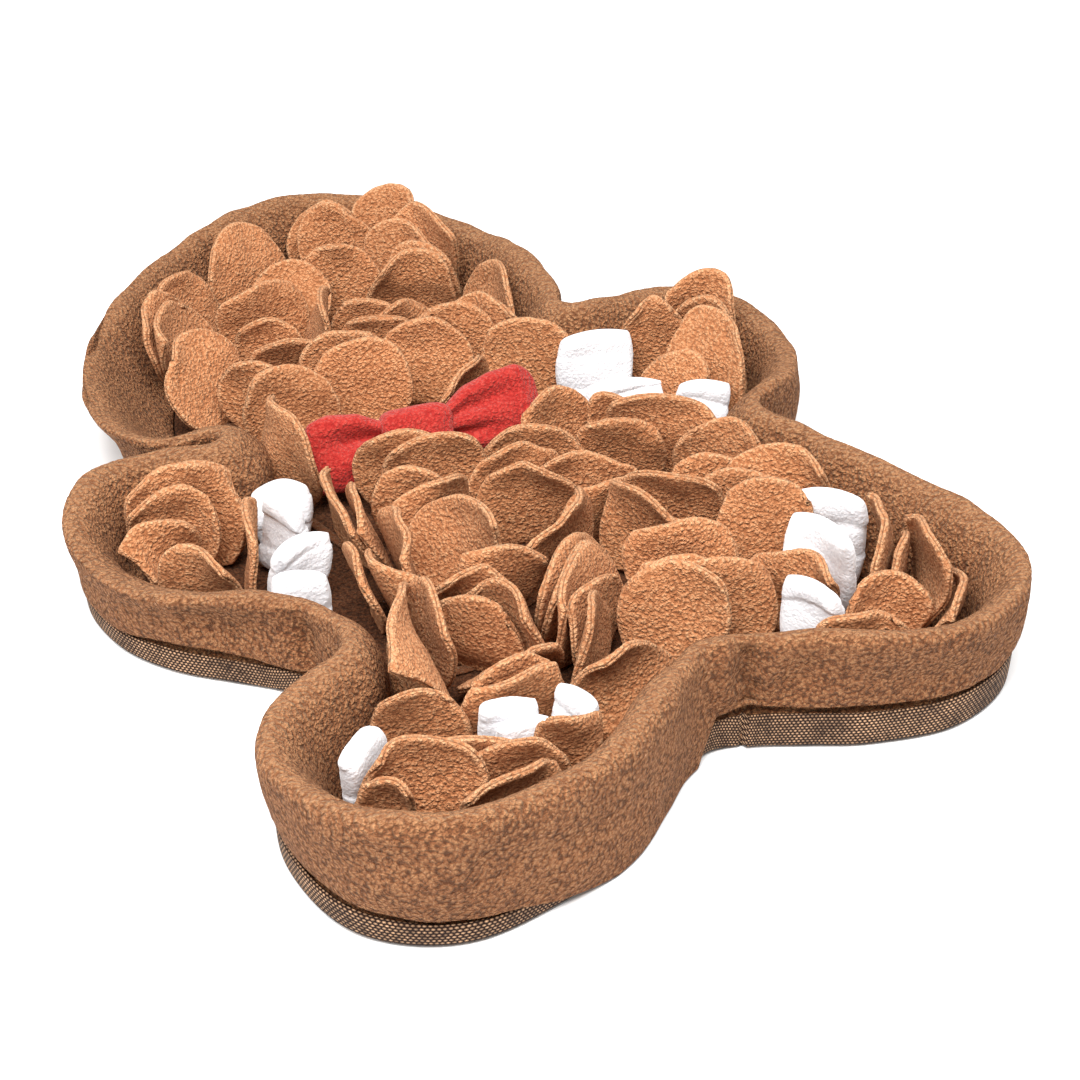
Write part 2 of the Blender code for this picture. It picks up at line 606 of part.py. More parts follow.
def build_group(name, leaves, colour):
    """A tuft: its petals fused to a chain of narrow root strips."""
    roots = [leaf.root + leaf.moves[6] * leaf.front + leaf.moves[7] * leaf.side for leaf in leaves]
    bodies = [bar_body(a, b) for a, b in zip(roots, roots[1:])]
    for leaf in leaves:
        rolled, bent = leaf.curl > rad(95), abs(leaf.bend) > rad(18)
        bodies.append(leaf_body(leaf, 6 if rolled else 4, 3 if rolled or bent else 2))
    things = [new_object(name if k == 0 else name + "_piece", v, f, colour)
              for k, (v, f) in enumerate(bodies)]
    join(things[0], things[1:])
    return things[0]


def tube_body(sections, around, origin, axes):
    """Closed body through rounded sections: along, rise, half height, half thickness."""
    vertices = []
    for along, rise, tall, thick in sections:
        for k in range(around):
            angle = 2 * math.pi * k / around
            c, s = math.cos(angle), math.sin(angle)
            c, s = math.copysign(abs(c) ** 0.75, c), math.copysign(abs(s) ** 0.75, s)
            vertices.append(origin + axes[0] * along + axes[1] * (rise + tall * s) + axes[2] * thick * c)
    faces = []
    for i in range(len(sections) - 1):
        for k in range(around):
            m = (k + 1) % around
            faces.append((i * around + k, i * around + m, (i + 1) * around + m, (i + 1) * around + k))
    faces.append(list(range(around)))
    faces.append([(len(sections) - 1) * around + k for k in range(around)])
    return np.array(vertices), faces


def bow_axes():
    """Along the bow, up its leaning face, and out of that face."""
    length = heading(BOW_HEADING)
    front = heading(BOW_HEADING - 90)
    up = np.array([0, 0, 1.0])
    tilt = rad(BOW_TILT)
    cos, sin = math.cos(tilt), math.sin(tilt)
    return length, up * cos - front * sin, front * cos + up * sin


def build_bow():
    length, up, front = bow_axes()
    vertices, faces = tube_body(BOW, 12, np.array(BOW_AT, float), (length, up, front))
    return new_object("bow", vertices, faces, (0.6, 0.02, 0.025))


def main():
    for thing in list(bpy.data.objects):
        bpy.data.objects.remove(thing)
    line = smooth_rows(WALL, WALL_STEPS)
    build_base(line)
    build_floor(line)
    build_wall(line)
    leaves = []
    for table, thickness, squareness in ((TUFTS, LEAF_T, 0.0), (PADS, PAD_T, 0.5)):
        for name, rows in table.items():
            leaves += [Leaf(name, row, thickness, squareness) for row in rows]
    settle(leaves, line)
    for name in TUFTS:
        build_group(name, [leaf for leaf in leaves if leaf.group == name], (0.42, 0.2, 0.09))
    for name in PADS:
        build_group(name, [leaf for leaf in leaves if leaf.group == name], (0.85, 0.84, 0.86))
    build_bow()


main()
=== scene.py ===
"""Snuffle mat in the shape of a gingerbread biscuit figure, dressed in fleece and woven cloth.

Head at +Y, feet at -Y, underside at Z = 0. Shapes are in millimetres and degrees, finishes and the studio
in metres.
"""

import math

import bmesh
import bpy
import numpy as np
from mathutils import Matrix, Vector


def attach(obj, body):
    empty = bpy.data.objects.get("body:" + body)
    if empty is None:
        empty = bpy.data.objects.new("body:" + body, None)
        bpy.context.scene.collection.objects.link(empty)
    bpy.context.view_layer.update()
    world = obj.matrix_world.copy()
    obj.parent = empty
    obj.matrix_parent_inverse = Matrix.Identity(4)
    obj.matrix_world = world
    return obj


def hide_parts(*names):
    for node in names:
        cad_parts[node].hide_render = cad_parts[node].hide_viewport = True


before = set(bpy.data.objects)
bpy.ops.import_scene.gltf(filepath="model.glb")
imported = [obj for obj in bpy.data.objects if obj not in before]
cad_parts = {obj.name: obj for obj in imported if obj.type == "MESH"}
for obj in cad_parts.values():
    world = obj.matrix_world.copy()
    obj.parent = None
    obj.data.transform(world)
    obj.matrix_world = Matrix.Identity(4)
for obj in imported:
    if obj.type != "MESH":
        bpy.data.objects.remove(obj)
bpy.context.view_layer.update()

MM = 0.001

# driving sizes, as in the solids
BASE_T = 1.6            # woven base thickness
BAND_OUT = 12.2         # outer face of the base's turned-up edge, from the foot line of the wall
FLOOR_Z = 2.0           # underside of the floor panel
FLOOR_T = 2.4           # floor panel thickness
FLOOR_IN = 14.5         # floor panel edge, inwards from the foot line
STRIP_Z = 4.8           # underside of the root strips
STRIP_T = 1.6           # root strip thickness
STRIP_W = 5.0           # root strip width
ROOT_Z = 4.9            # underside of the sewn foot of a petal
ROOT_W = 15.0           # length of that foot
LEAF_Z = 8.4            # where the petal itself starts
LEAF_T = 2.0            # petal thickness
PAD_T = 7.0             # thickness of a folded white strip
TOP_ARC = 48            # half angle of a petal's top arc
WALL_CORE = 10.5        # half thickness of the padded wall
WALL_STEPS = 2          # samples between two rows of the wall table, for the petals' clearance

# how the petals settle: clearances, then the least squares
CLEAR = 4.3             # distance kept between the middles of neighbouring petals
NEAR = 6.0              # petals whose boxes are further apart than this are left alone,
NEAR_SQUARED = 120.0    # and so are those whose nearest test points are further apart than the root of this
BESIDE = 4.6            # test points further to the side than this don't touch
MOST_PUSH = 6.0         # in one round
ROUNDS = 120
TEST_POINTS = 9         # across a petal, and up it
STIFFNESS = (0.6, 2.0, 1.5, 4.0, 3.0, 6.0, 3.0, 3.0)    # of each of the ways in which a petal gives way

# wall: foot line x, y; height; how far the top leans outwards; scale of the outward bulge;
# height of the turned-up edge of the base there
HEIGHT, LEAN, BULGE, BAND = 2, 3, 4, 5      # columns after x, y
WALL = (
    (0, 270, 50, 8, 1.0, 10), (35, 276, 50, 6, 1.0, 10), (64, 262, 49, 4, 1.0, 10),
    (88, 234, 48, 4, 1.0, 10), (103, 198, 48, 3, 1.0, 10), (107, 160, 50, 3, 1.0, 10),
    (103, 122, 52, 3, 1.0, 10), (98, 99, 52, 1, 0.8, 10), (110, 84, 52, 0, 0.7, 10),
    (134, 80, 50, 2, 0.9, 10), (159, 80, 46, 2, 1.0, 10), (181, 66, 44, 2, 1.0, 10),
    (186, 40, 43, 2, 1.0, 10), (178, 10, 45, 2, 1.0, 10), (162, -12, 48, 1, 1.0, 10),
    (148, -21, 50, 0, 0.8, 10), (131, -31, 50, 0, 0.7, 10), (126, -48, 50, 0, 0.8, 10),
    (131, -70, 50, 2, 1.0, 10), (138, -98, 50, 3, 1.0, 10), (146, -138, 50, 4, 1.0, 10),
    (147, -176, 52, 5, 1.0, 17), (131, -204, 56, 5, 1.0, 17), (100, -213, 57, 6, 1.0, 17),
    (68, -204, 57, 6, 1.0, 17), (46, -192, 56, 4, 1.0, 17), (24, -179, 54, 3, 1.0, 17),
    (2, -174, 54, 0, 0.9, 15), (-20, -180, 54, 2, 1.0, 12), (-40, -193, 56, 2, 1.0, 7),
    (-64, -207, 58, 2, 1.0, 5), (-98, -213, 59, 2, 1.0, 8), (-130, -211, 59, 2, 1.0, 10),
    (-154, -192, 58, 3, 1.0, 12), (-160, -160, 56, 6, 1.0, 12), (-153, -136, 54, 4, 1.0, 12),
    (-132, -121, 52, 2, 1.0, 12), (-115, -109, 52, 0, 0.8, 10), (-107, -92, 50, 0, 0.7, 12),
    (-111, -70, 48, 0, 0.8, 12), (-122, -50, 46, 2, 1.0, 12), (-138, -34, 44, 4, 1.0, 12),
    (-155, -16, 42, 8, 1.0, 12), (-167, 8, 42, 9, 1.0, 10), (-169, 36, 44, 7, 1.0, 10),
    (-157, 60, 46, 5, 1.0, 10), (-138, 67, 46, 2, 0.9, 10), (-117, 60, 48, 0, 0.7, 10),
    (-101, 57, 50, 0, 0.6, 10), (-92, 67, 50, 0, 0.6, 10), (-99, 81, 48, 3, 0.7, 10),
    (-112, 96, 44, 10, 0.8, 10), (-115, 120, 42, 16, 1.0, 10), (-110, 148, 42, 18, 1.0, 10),
    (-98, 180, 44, 16, 1.0, 10), (-76, 214, 46, 12, 1.0, 10), (-42, 246, 48, 10, 1.0, 10),
)
# cross-section of the wall: distance outwards from the foot line, with the height above the ground
SECTION_LOW_IN = ((-9.0, 2.0), (-10.5, 13.0))
SECTION_LOW_OUT = ((13.0, 3.8), (9.6, 1.0))   # these two above the turned-up edge
LOW = 13.0              # the wall leans only above this height
# the part above, with the share of the way from LOW to the top
SECTION_HIGH = ((-10.5, 0.58), (-7.5, 0.89), (0.5, 1.0), (7.5, 0.93), (12.0, 0.72), (13.8, 0.38))
LEAN_POWER = 1.3        # how late on its way up the wall takes its lean

# petals: where the tip stands, which way the face looks, how far it leans back at the root,
# how much more at the tip, width, length, and how far it curls around (positive: hollow in front)
PETAL_COLUMNS = ("tip_x", "tip_y", "face", "lean", "bend", "width", "length", "curl")
TUFTS = {
    "head_back_left": ((-8, 257, 285, 12, 6, 54, 48, 10), (10, 230, 240, 45, 0, 44, 44, 0)),
    "head_back_right": (
        (45, 264, 250, 12, 8, 44, 51, 10), (62, 238, 242, 8, 0, 46, 53, 15),
        (41, 214, 245, 5, 0, 46, 43, 10)),
    "head_far_right": (
        (78, 238, 242, 8, 4, 44, 62, 10), (95, 215, 230, 4, 12, 44, 58, 10),
        (77, 214, 240, 8, 0, 48, 48, 10)),
    "head_right_cup": ((60, 187, 240, -5, 0, 52, 42, 80), (79, 193, 230, 0, 0, 42, 44, 20)),
    "head_right_wall": (
        (94, 158, 185, 10, 0, 50, 48, 10), (85, 127, 225, 18, 0, 46, 44, 0),
        (78, 84, 235, 10, 0, 48, 46, 10)),
    "head_middle": (
        (22, 162, 240, 0, 0, 42, 38, 0), (39, 148, 250, 0, 0, 36, 40, 20),
        (58, 125, 240, 10, 0, 44, 42, 0)),
    "head_front": (
        (21, 144, 240, 5, 0, 46, 38, 10), (36, 118, 240, 12, 0, 48, 42, 10),
        (32, 76, 285, -8, -10, 42, 40, 0)),
    "head_front_left": (
        (-3, 133, 245, 5, 0, 46, 42, 15), (-2, 116, 243, 14, 0, 50, 44, 15),
        (-46, 110, 245, 12, 0, 48, 42, 15)),
    "head_left_wall": ((-84, 204, 305, 12, 0, 46, 50, 10), (-56, 228, 309, 8, 0, 52, 48, 60)),
    "head_left": ((-62, 202, 290, 10, 0, 44, 44, 0), (-36, 195, 262, -20, -10, 48, 38, 10)),
    "head_left_corner": ((-89, 168, 300, 30, 0, 50, 50, 10), (-54, 133, 235, 5, 0, 38, 38, 0)),
    "head_left_low": (
        (-1, 175, 170, 10, 0, 44, 44, 10), (-32, 165, 230, 10, 0, 36, 38, 0),
        (-30, 144, 248, -20, -15, 42, 38, 0)),
    "neck_middle": ((-50, 72, 238, -42, 0, 40, 30, 0), (-14, 71, 240, -42, 0, 40, 30, 0)),
    "neck_left": ((-82, 62, 246, -4, 0, 30, 52, 150), (-79, 9, 2, 20, 16, 54, 46, 0)),
    "side_left": ((-63, -7, 0, 5, 25, 44, 44, 10), (-62, -38, 356, 5, 20, 50, 46, 0)),
    "side_left_low": (
        (-84, -42, 350, 12, 0, 38, 42, 10), (-73, -66, 345, 14, 0, 40, 42, 0),
        (-82, -98, 10, 10, 6, 46, 44, 10), (-62, -86, 40, -8, 0, 48, 38, 100)),
    "chest_left": ((-25, 29, 240, 5, 0, 44, 44, 10), (-11, 18, 240, 8, 0, 50, 44, 10)),
    "chest_low_left": (
        (-39, -2, 240, 0, 0, 34, 40, 10), (-29, -18, 290, 12, 0, 38, 44, 10),
        (-24, -52, 225, 30, 0, 48, 46, 0)),
    "chest_middle": ((9, -13, 250, 0, 0, 50, 42, 30), (4, -27, 250, -4, 0, 52, 40, 40)),
    "chest_right": ((31, 6, 240, 10, 0, 50, 44, 10), (42, -29, 250, 0, 0, 48, 38, 20)),
    "chest_far_right": ((58, 12, 275, 0, 0, 50, 46, 120), (75, 2, 255, 0, 0, 32, 42, 80)),
    "side_right_cup": ((94, -10, 225, 12, 0, 54, 48, 50), (70, -20, 245, -15, 0, 46, 40, 20)),
    "belly_back": (
        (38, -46, 270, -10, -10, 48, 39, 0), (21, -61, 283, -15, -15, 52, 40, 0),
        (-27, -75, 290, -8, -5, 32, 40, 0)),
    "belly_right": (
        (43, -78, 215, 0, 0, 54, 40, 120), (60, -68, 250, 20, 0, 46, 44, 0),
        (86, -82, 240, 5, 0, 42, 40, 0)),
    "belly_pages": (
        (-9, -84, 286, -12, 0, 52, 37, 0), (-4, -93, 286, -6, 0, 52, 38, 0),
        (4, -102, 288, 0, 0, 52, 39, 0)),
    "belly_left": ((-43, -84, 225, 0, 0, 42, 38, 10), (-38, -106, 210, 0, -10, 44, 42, 0)),
    "belly_flap": ((-58, -128, 250, -25, -50, 46, 52, 0), (-59, -140, 262, -10, 0, 46, 40, 0)),
    "belly_low": ((-13, -112, 304, 10, 0, 44, 42, 10), (-29, -131, 304, 5, 0, 42, 42, 20)),
    "hip_left": ((-91, -118, 208, 10, 0, 46, 48, 0), (-72, -158, 255, -25, -15, 44, 40, 0)),
    "crotch": ((9, -131, 232, 24, 0, 42, 50, 10), (-24, -153, 235, 35, 0, 40, 42, 0)),
    "hip_right": (
        (34, -112, 245, 0, 0, 46, 40, 10), (27, -123, 245, 0, 0, 42, 38, 20),
        (48, -141, 240, 10, 0, 52, 44, 10)),
    "hip_far_right": (
        (57, -107, 245, 0, 0, 36, 40, 0), (92, -99, 235, 16, 0, 50, 48, 0),
        (78, -126, 235, 18, 0, 40, 46, 0)),
    "side_right": (
        (109, -45, 215, 8, 0, 48, 46, 30), (92, -62, 245, -4, 0, 48, 38, 10),
        (124, -84, 240, 14, 0, 50, 48, 0)),
    "hand_left": (
        (-125, 50, 240, 0, 0, 50, 42, 70), (-138, 58, 235, 4, 0, 50, 43, 60),
        (-148, 52, 225, 6, 0, 40, 42, 50)),
    "hand_left_front": (
        (-120, 14, 155, 5, 0, 46, 42, 20), (-155, 15, 320, 6, 0, 32, 38, 180),
        (-136, -5, 243, -6, 0, 36, 38, 0)),
    "hand_right": (
        (159, 40, 232, 4, 0, 34, 46, 60), (168, 49, 225, 4, 0, 38, 53, 90),
        (176, 57, 225, 6, 0, 42, 61, 100)),
    "hand_right_back": ((143, 69, 228, 6, 6, 34, 56, 10),),
    "hand_right_front": (
        (134, 34, 196, 26, 0, 42, 44, 0), (166, 24, 225, 18, 0, 38, 44, 10),
        (176, 8, 215, 14, 25, 46, 56, 10)),
    "foot_left": (
        (-108, -139, 242, 5, 0, 40, 44, 10), (-124, -158, 238, 28, 0, 46, 46, 0),
        (-148, -164, 240, 5, 0, 24, 32, 90)),
    "foot_left_front": (
        (-92, -174, 250, -8, 0, 42, 37, 10), (-88, -185, 246, -4, 0, 40, 38, 0),
        (-92, -196, 246, -6, 0, 40, 36, 0), (-57, -194, 225, 0, 0, 24, 42, 80)),
    "foot_right": (
        (132, -148, 295, -18, -10, 46, 46, 0), (120, -163, 309, -6, 0, 40, 44, 0),
        (131, -172, 309, -4, 0, 36, 46, 0)),
    "foot_right_front": (
        (103, -172, 260, 0, 0, 38, 40, 100), (88, -188, 250, -4, 0, 44, 40, 10),
        (118, -193, 285, -5, 0, 32, 44, 0)),
}

# folded white strips, the same columns as the petals
PADS = {
    "wrist_strips_left": (
        (-104, 41, 250, 6, 0, 28, 36, 0), (-98, 20, 200, 12, 0, 28, 38, 0),
        (-114, -9, 262, 8, 0, 30, 34, 0), (-108, -32, 245, 14, 0, 26, 30, 0)),
    "wrist_strips_right": (
        (108, 55, 240, 6, 0, 40, 42, 0), (102, 20, 243, 8, 0, 42, 36, 0),
        (131, -1, 225, 8, 0, 26, 36, 0)),
    "ankle_strip_outer": ((-134, -140, 305, 2, 0, 28, 36, 0),),
    "ankle_strips_left": (
        (-85, -156, 225, 6, 0, 22, 36, 0), (-75, -169, 235, 4, 0, 22, 36, 0),
        (-54, -178, 215, 0, 0, 20, 38, 0)),
    "ankle_strips_right": (
        (130, -120, 225, 26, 0, 36, 44, 0), (107, -146, 215, 18, 0, 36, 42, 0),
        (78, -164, 215, 10, 0, 28, 38, 0)),
}

# bow: centre of the knot, heading of its length, how far it leans back
BOW_AT = (-6, 50, 31)
BOW_HEADING = -7
BOW_TILT = 32
# from one end to the other: distance along, rise, half height, half thickness
BOW = ((-57.5, -2, 14, 3), (-52, -2, 18, 7), (-42, -1, 19, 9), (-28, 0, 16, 9), (-17, 0, 10, 7),
       (-14, 0, 12, 10), (0, 0, 13, 11), (14, 0, 12, 10), (17, 0, 10, 7), (28, 1, 16, 9),
       (42, 2, 19, 9), (57, 3, 20, 8), (65, 4, 16, 3))
# the same as three rounded lumps, to keep the petals off it
BOW_LUMPS = ((-35, -1, (29, 22, 11)), (0, 0, (18, 14, 12)), (41, 2, (29, 22, 11)))
KNOT = (17.5, 13.5, 11.5)       # half length, half height and half thickness of the knot

# loops of the bow: start and end along it, and folds as place round the section, depth, width,
# and how far along the loop the fold is deepest and fades
BOW_LOOPS = (
    (-12, -58, ((14, 0.85, 17, 0.22, 0.40), (-38, 0.35, 16, 0.15, 0.25), (180, 0.5, 20, 0.3, 0.4))),
    (12, 66, ((22, 0.6, 17, 0.25, 0.42), (-22, 0.6, 15, 0.12, 0.26), (180, 0.5, 20, 0.3, 0.4))),
)

# how finely the cloth is drawn
PETAL_GRID = ((28, 26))    # faces across and up
STRIP_GRID = ((36, 64))
WALL_GRID = ((22, 7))        # sections, and section points, between two rows or corners
TRAY_STEPS = 12
LOOP_GRID = ((72, 44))     # around the bow and along it
KNOT_GRID = ((64, 29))

# drawn petals: two layers of fleece back to back, in waves that grow towards the tip
PETAL_T = 3.5
PETAL_WAVES = ((30.0, (11.0, 23.0, 37.0), (6.5, 6.5, 2.2)),     # size, seeds, and how far x, y and z move
               (15.0, (13.0, 29.0, 41.0), (2.0, 2.0, 0.8)))
PETAL_RIPPLE = (12.0, 5.0)      # size and seed of a finer wave, straight out of the cloth
RIPPLE_HEIGHT = 1.3
# rings round the rim: place between the middle (0) and a face (1), and how far the ring swells
RIM_RINGS = ((0.8, 0.55), (0.42, 0.95), (0.0, 0.25), (-0.42, 0.95), (-0.8, 0.55))
# pile of each cloth: size of its nubs, their height, and seed
PETAL_PILE = (2.4, 0.45, 3.0)
STRIP_PILE = (1.9, 0.35, 7.0)
WALL_PILE = (2.2, 0.4, 9.0)
LOOP_PILE = (2.0, 0.25, 5.0)
KNOT_PILE = (2.0, 0.25, 6.0)
NUB_MEAN = 0.35                 # mean height of nubs, as a share of the highest
FOLD_PITCH = 17.0               # height of one fold of a white strip
FOLD_SLIP = (2.0, 2.4)          # how far a fold may slip sideways and forwards
DISC_SHARE = 0.86               # area of a petal, as a share of its width times its length

# soft lumps: size, seed and height
LOOP_LUMPS = (9.0, 3.0, 0.7)
KNOT_LUMPS = (8.0, 1.0, 0.6)
WALL_LUMPS = ((38.0, 2.0, 2.2), (15.0, 4.0, 1.1))
RIM_LUMPS = (52.0, 8.0, 1.8)    # up and down, along the top of the wall

# drawn wall against the solid's section: how far each corner is moved outwards and up
WALL_SHAPE = ((-4.8, 0.6), (0.5, 0), (3.0, 0), (5.5, 0.5), (3.6, 0.5), (2.2, 2.5), (0.8, 6.0), (0.4, 5.0),
              (0, 0), (0, 0), (0, 0))
# where along the wall table the rim is thinner on its inner side, and by how much; below 0 it is thicker, at
# sharp corners
THIN_ROWS = ((0, 3), (2, 2), (6, 1), (7.5, -3), (9, 1), (15, 1), (16.5, -3), (18, 1), (24, 1), (25.5, 2),
             (28, 2), (30, 1), (35, 1), (36.8, -2), (38.5, 1), (46, 1), (47.6, -5), (50, -5), (51.5, 4),
             (53, 7), (56.5, 6))
THIN_CORNERS = (0.9, 1.3, 0.8, 0.6)     # share of that at each inner corner, from the foot up
# rows between which the fleece hangs over the edge of the base, and where the last three corners go there
HANG_ROWS = (26.8, 27.6, 30.2, 31.6)
HANG_CORNERS = ((14.8, 4.0), (14.2, 1.2), (9.6, 2.0))

# folds pressed into the wall's face: from row and height to row and height of the wall table,
# distance out from the foot line, how deep (negative: a ridge), how wide
FOLD_STEPS = 10         # samples between two rows, to place the folds
FOLDS = (
    (26.25, 56, 26.1, 22, 13, 9.0, 5.0), (25.0, 50, 25.5, 26, 12, 4.5, 8),
    (29.6, 30, 31.8, 35, 13, 1.8, 7), (32.6, 42, 33.4, 30, 13, 1.6, 9),
    (39.4, 44, 39.0, 14, 12, 4.5, 5.5), (40.6, 28, 41.8, 32, 13, 3.0, 11),
    (42.6, 30, 44.2, 24, 13, 1.8, 9), (48.2, 48, 47.8, 16, 12, 4.0, 5),
    (50.6, 46, 50.4, 14, 12, 3.5, 6), (51.6, 40, 52.8, 14, 14, 2.6, 7),
    (22.4, 40, 23.6, 26, 13, 1.6, 10), (36.6, 46, 37.0, 18, 12, 3.0, 6),
    (26.7, 56, 26.7, 30, 11, -3.5, 6), (53.6, 34, 54.6, 22, 14, 2.0, 9),
    (16.5, 44, 16.7, 16, 12, 3.0, 6), (7.4, 46, 7.6, 16, 12, 3.0, 6),
    (39.3, 33, 42.4, 30, 14, 3.6, 11), (24.9, 36, 22.8, 30, 14, 2.6, 12),
)

# tray: where its flat middle ends, the row where its edge is lapped, how long and how thick the lap is
TRAY_IN = -16.0
LAP_ROW = 26.2
LAP_LENGTH = 70.0
LAP_RISE = 1.3
# rings of the floor panel's rounded edge: distance inwards, and share of the thickness
FLOOR_EDGE = ((1.6, 0.0), (0.5, 0.12), (0.0, 0.5), (0.5, 0.88), (1.6, 1.0))

# finish of the fleece: what nubs, the curls between them and fibres give to its height,
# how far a fine noise stirs the nubs, and how strongly clumps and wide drifts change the tone
NAP = {"nubs": 0.55, "curls": 0.25, "fibres": 0.30}
STIR = 0.0022
CLUMP_TONE = 0.12
DRIFT_TONE = 0.14

# studio: its floor, its lights with place, size and power, and the camera with what it looks at,
# its heading, height angle, distance and focal length
STUDIO_HALF = 6.0
STUDIO_Z = -0.0006
LIGHTS = (("overhead light", (-0.2, -0.45, 1.40), 1.0, 37.5),
          ("side light", (-0.85, -0.30, 1.15), 0.8, 12.0))
CAMERA = {"at": (0.021481, -0.020761, 0.0), "heading": -0.544611, "height": 0.619064,
          "distance": 0.857438, "lens": 60.0}


# ---------------------------------------------------------------- lines and sections

def heading(degrees):
    """Level unit vector with this heading, 0 along +X and 90 along +Y."""
    return np.array([math.cos(math.radians(degrees)), math.sin(math.radians(degrees)), 0.0])


def unit(vectors):
    """The vectors, each divided by its length."""
    return vectors / np.maximum(np.linalg.norm(vectors, axis=-1), 1e-9)[..., None]


def smooth(points, steps, axis=0):
    """Closed curve through the points along one axis, with so many samples from point to point.

    Between two points it is the cubic whose slope at each is half the way from the point before it to the
    point after it."""
    points = np.array(points, float)
    t = (np.arange(steps) / steps).reshape(-1, *[1] * (points.ndim - axis - 1))
    before, here, after, beyond = (np.expand_dims(np.roll(points, k, axis=axis), axis + 1)
                                   for k in (1, 0, -1, -2))
    curve = (2 * here + (after - before) * t + (2 * before - 5 * here + 4 * after - beyond) * t ** 2
             + (3 * here - before - 3 * after + beyond) * t ** 3) / 2
    return curve.reshape(*points.shape[:axis], -1, *points.shape[axis + 1:])


def outward_normals(xy):
    """Level unit normals of a closed clockwise line, pointing outwards."""
    along = unit(np.roll(xy, -1, axis=0) - np.roll(xy, 1, axis=0))
    return np.stack([-along[:, 1], along[:, 0]], axis=1)


def offset_line(line, distance):
    """The foot line moved outwards by a distance that follows the bulge column."""
    xy = line[:, :2]
    return xy + outward_normals(xy) * (distance * line[:, BULGE])[:, None]


def rounded_square(angles, power):
    """Cosine and sine with their sizes raised to a power; below 1 it swells a circle towards a square."""
    return [np.sign(wave) * np.abs(wave) ** power for wave in (np.cos(angles), np.sin(angles))]


def wall_section(row):
    """Section of the solid wall at one row: distance outwards and height."""
    height, lean, bulge = row[HEIGHT], row[LEAN], row[BULGE]
    points = list(SECTION_LOW_IN)
    for d, share in SECTION_HIGH:
        outwards = d * bulge if d > 0 else d
        points.append((outwards + lean * share ** LEAN_POWER, LOW + share * (height - LOW)))
    points.extend((d * bulge, row[BAND] + z) for d, z in SECTION_LOW_OUT)
    points.append((SECTION_LOW_OUT[1][0] * bulge, SECTION_LOW_IN[0][1]))
    return np.array(points)


def bow_axes():
    """Along the bow, up its leaning face, and out of that face."""
    length, front = heading(BOW_HEADING), heading(BOW_HEADING - 90)
    up = np.array([0, 0, 1.0])
    cos, sin = math.cos(math.radians(BOW_TILT)), math.sin(math.radians(BOW_TILT))
    return np.array([length, up * cos - front * sin, front * cos + up * sin])


# ---------------------------------------------------------------- how the petals stand

class Leaf:
    """One standing petal or folded strip: a bent, curled disc that stands on its root."""

    def __init__(self, group, row, thickness, squareness):
        size = dict(zip(PETAL_COLUMNS, row))
        self.group, self.thickness, self.squareness = group, thickness, squareness
        self.width, self.length = float(size["width"]), float(size["length"])
        self.lean, self.bend, self.curl = (math.radians(size[key]) for key in ("lean", "bend", "curl"))
        self.front, self.side = heading(size["face"]), heading(size["face"] + 90)
        middle = self.lean + self.bend / 2
        self.facing = self.front * math.cos(middle) + np.array([0, 0, math.sin(middle)])
        back, _ = self.spine(np.array([self.length]))
        self.root = np.array([size["tip_x"], size["tip_y"], LEAF_Z]) + self.front * back[0]
        self.moves = np.zeros(len(STIFFNESS))

    def spine(self, along):
        """How far back and how high the middle line, an arc or straight, is at a distance along it."""
        if abs(self.bend) < 1e-4:
            return along * math.sin(self.lean), along * math.cos(self.lean)
        rate = self.bend / self.length
        angle = self.lean + rate * along
        return (math.cos(self.lean) - np.cos(angle)) / rate, (np.sin(angle) - math.sin(self.lean)) / rate

    def flat(self, u, v):
        """Flat pattern: a disc cut off at its root, u across -1..1 and v up 0..1.

        The four edges are the root, two side arcs and the top arc, and the inside is blended from them."""
        radius = self.width / 2
        middle = self.length - radius
        low = math.acos(max(-0.86, min(0.6, -middle / radius)))
        high = math.radians(TOP_ARC)
        turn = low + (high - low) * v
        edge_x, edge_y = radius * np.sin(turn), middle + radius * np.cos(turn)
        root_x, root_y = radius * math.sin(low), middle + radius * math.cos(low)
        top_x, top_y = radius * np.sin(high * u), middle + radius * np.cos(high * u)
        corner_x, corner_y = radius * math.sin(high), middle + radius * math.cos(high)
        x = (1 - v) * u * root_x + v * top_x + u * edge_x - u * ((1 - v) * root_x + v * corner_x)
        y = (1 - v) * root_y + v * top_y + edge_y - ((1 - v) * root_y + v * corner_y)
        y = np.maximum((y - root_y) * self.length / (self.length - root_y), 0.0)
        k = self.squareness
        return x * (1 - k) + u * radius * k, y * (1 - k) + v * self.length * k

    def shapes(self, u, v):
        """The ways in which a petal gives way, one vector field each: it leans, bends, twists, cups,
        shears, stretches, and its root moves forwards or sideways."""
        one = np.ones_like(u)
        up = np.array([0.0, 0.0, 1.0])
        fields = ((v, self.facing), (v * v, self.facing), (u * v, self.facing),
                  ((u * u - 0.33) * v, self.facing), (v, self.side), (v, up),
                  (one, self.front), (one, self.side))
        return np.stack([f[..., None] * d for f, d in fields], axis=0)

    def surface(self, u, v):
        """Middle surface: the flat pattern curled round its spine, plus the ways it has given way."""
        x, y = self.flat(u, v)
        back, up = self.spine(y)
        angle = self.lean + self.bend * y / self.length
        turn = self.curl * np.clip(0.25 + y / self.length, 0, 1) / self.width
        turn = np.where(np.abs(turn) < 1e-6, 1e-6, turn)
        across, forward = np.sin(turn * x) / turn, (1 - np.cos(turn * x)) / turn
        zero = np.zeros_like(x)
        ahead = np.stack([zero, zero, np.sin(angle)], -1) + np.cos(angle)[..., None] * self.front
        place = self.root - back[..., None] * self.front + np.stack([zero, zero, up], -1)
        place = place + across[..., None] * self.side + forward[..., None] * ahead
        return place + np.tensordot(self.moves, self.shapes(u, v), axes=1)

    def sewn_at(self):
        """Where the middle of the root is once the petal has settled."""
        return self.root + self.moves[6] * self.front + self.moves[7] * self.side


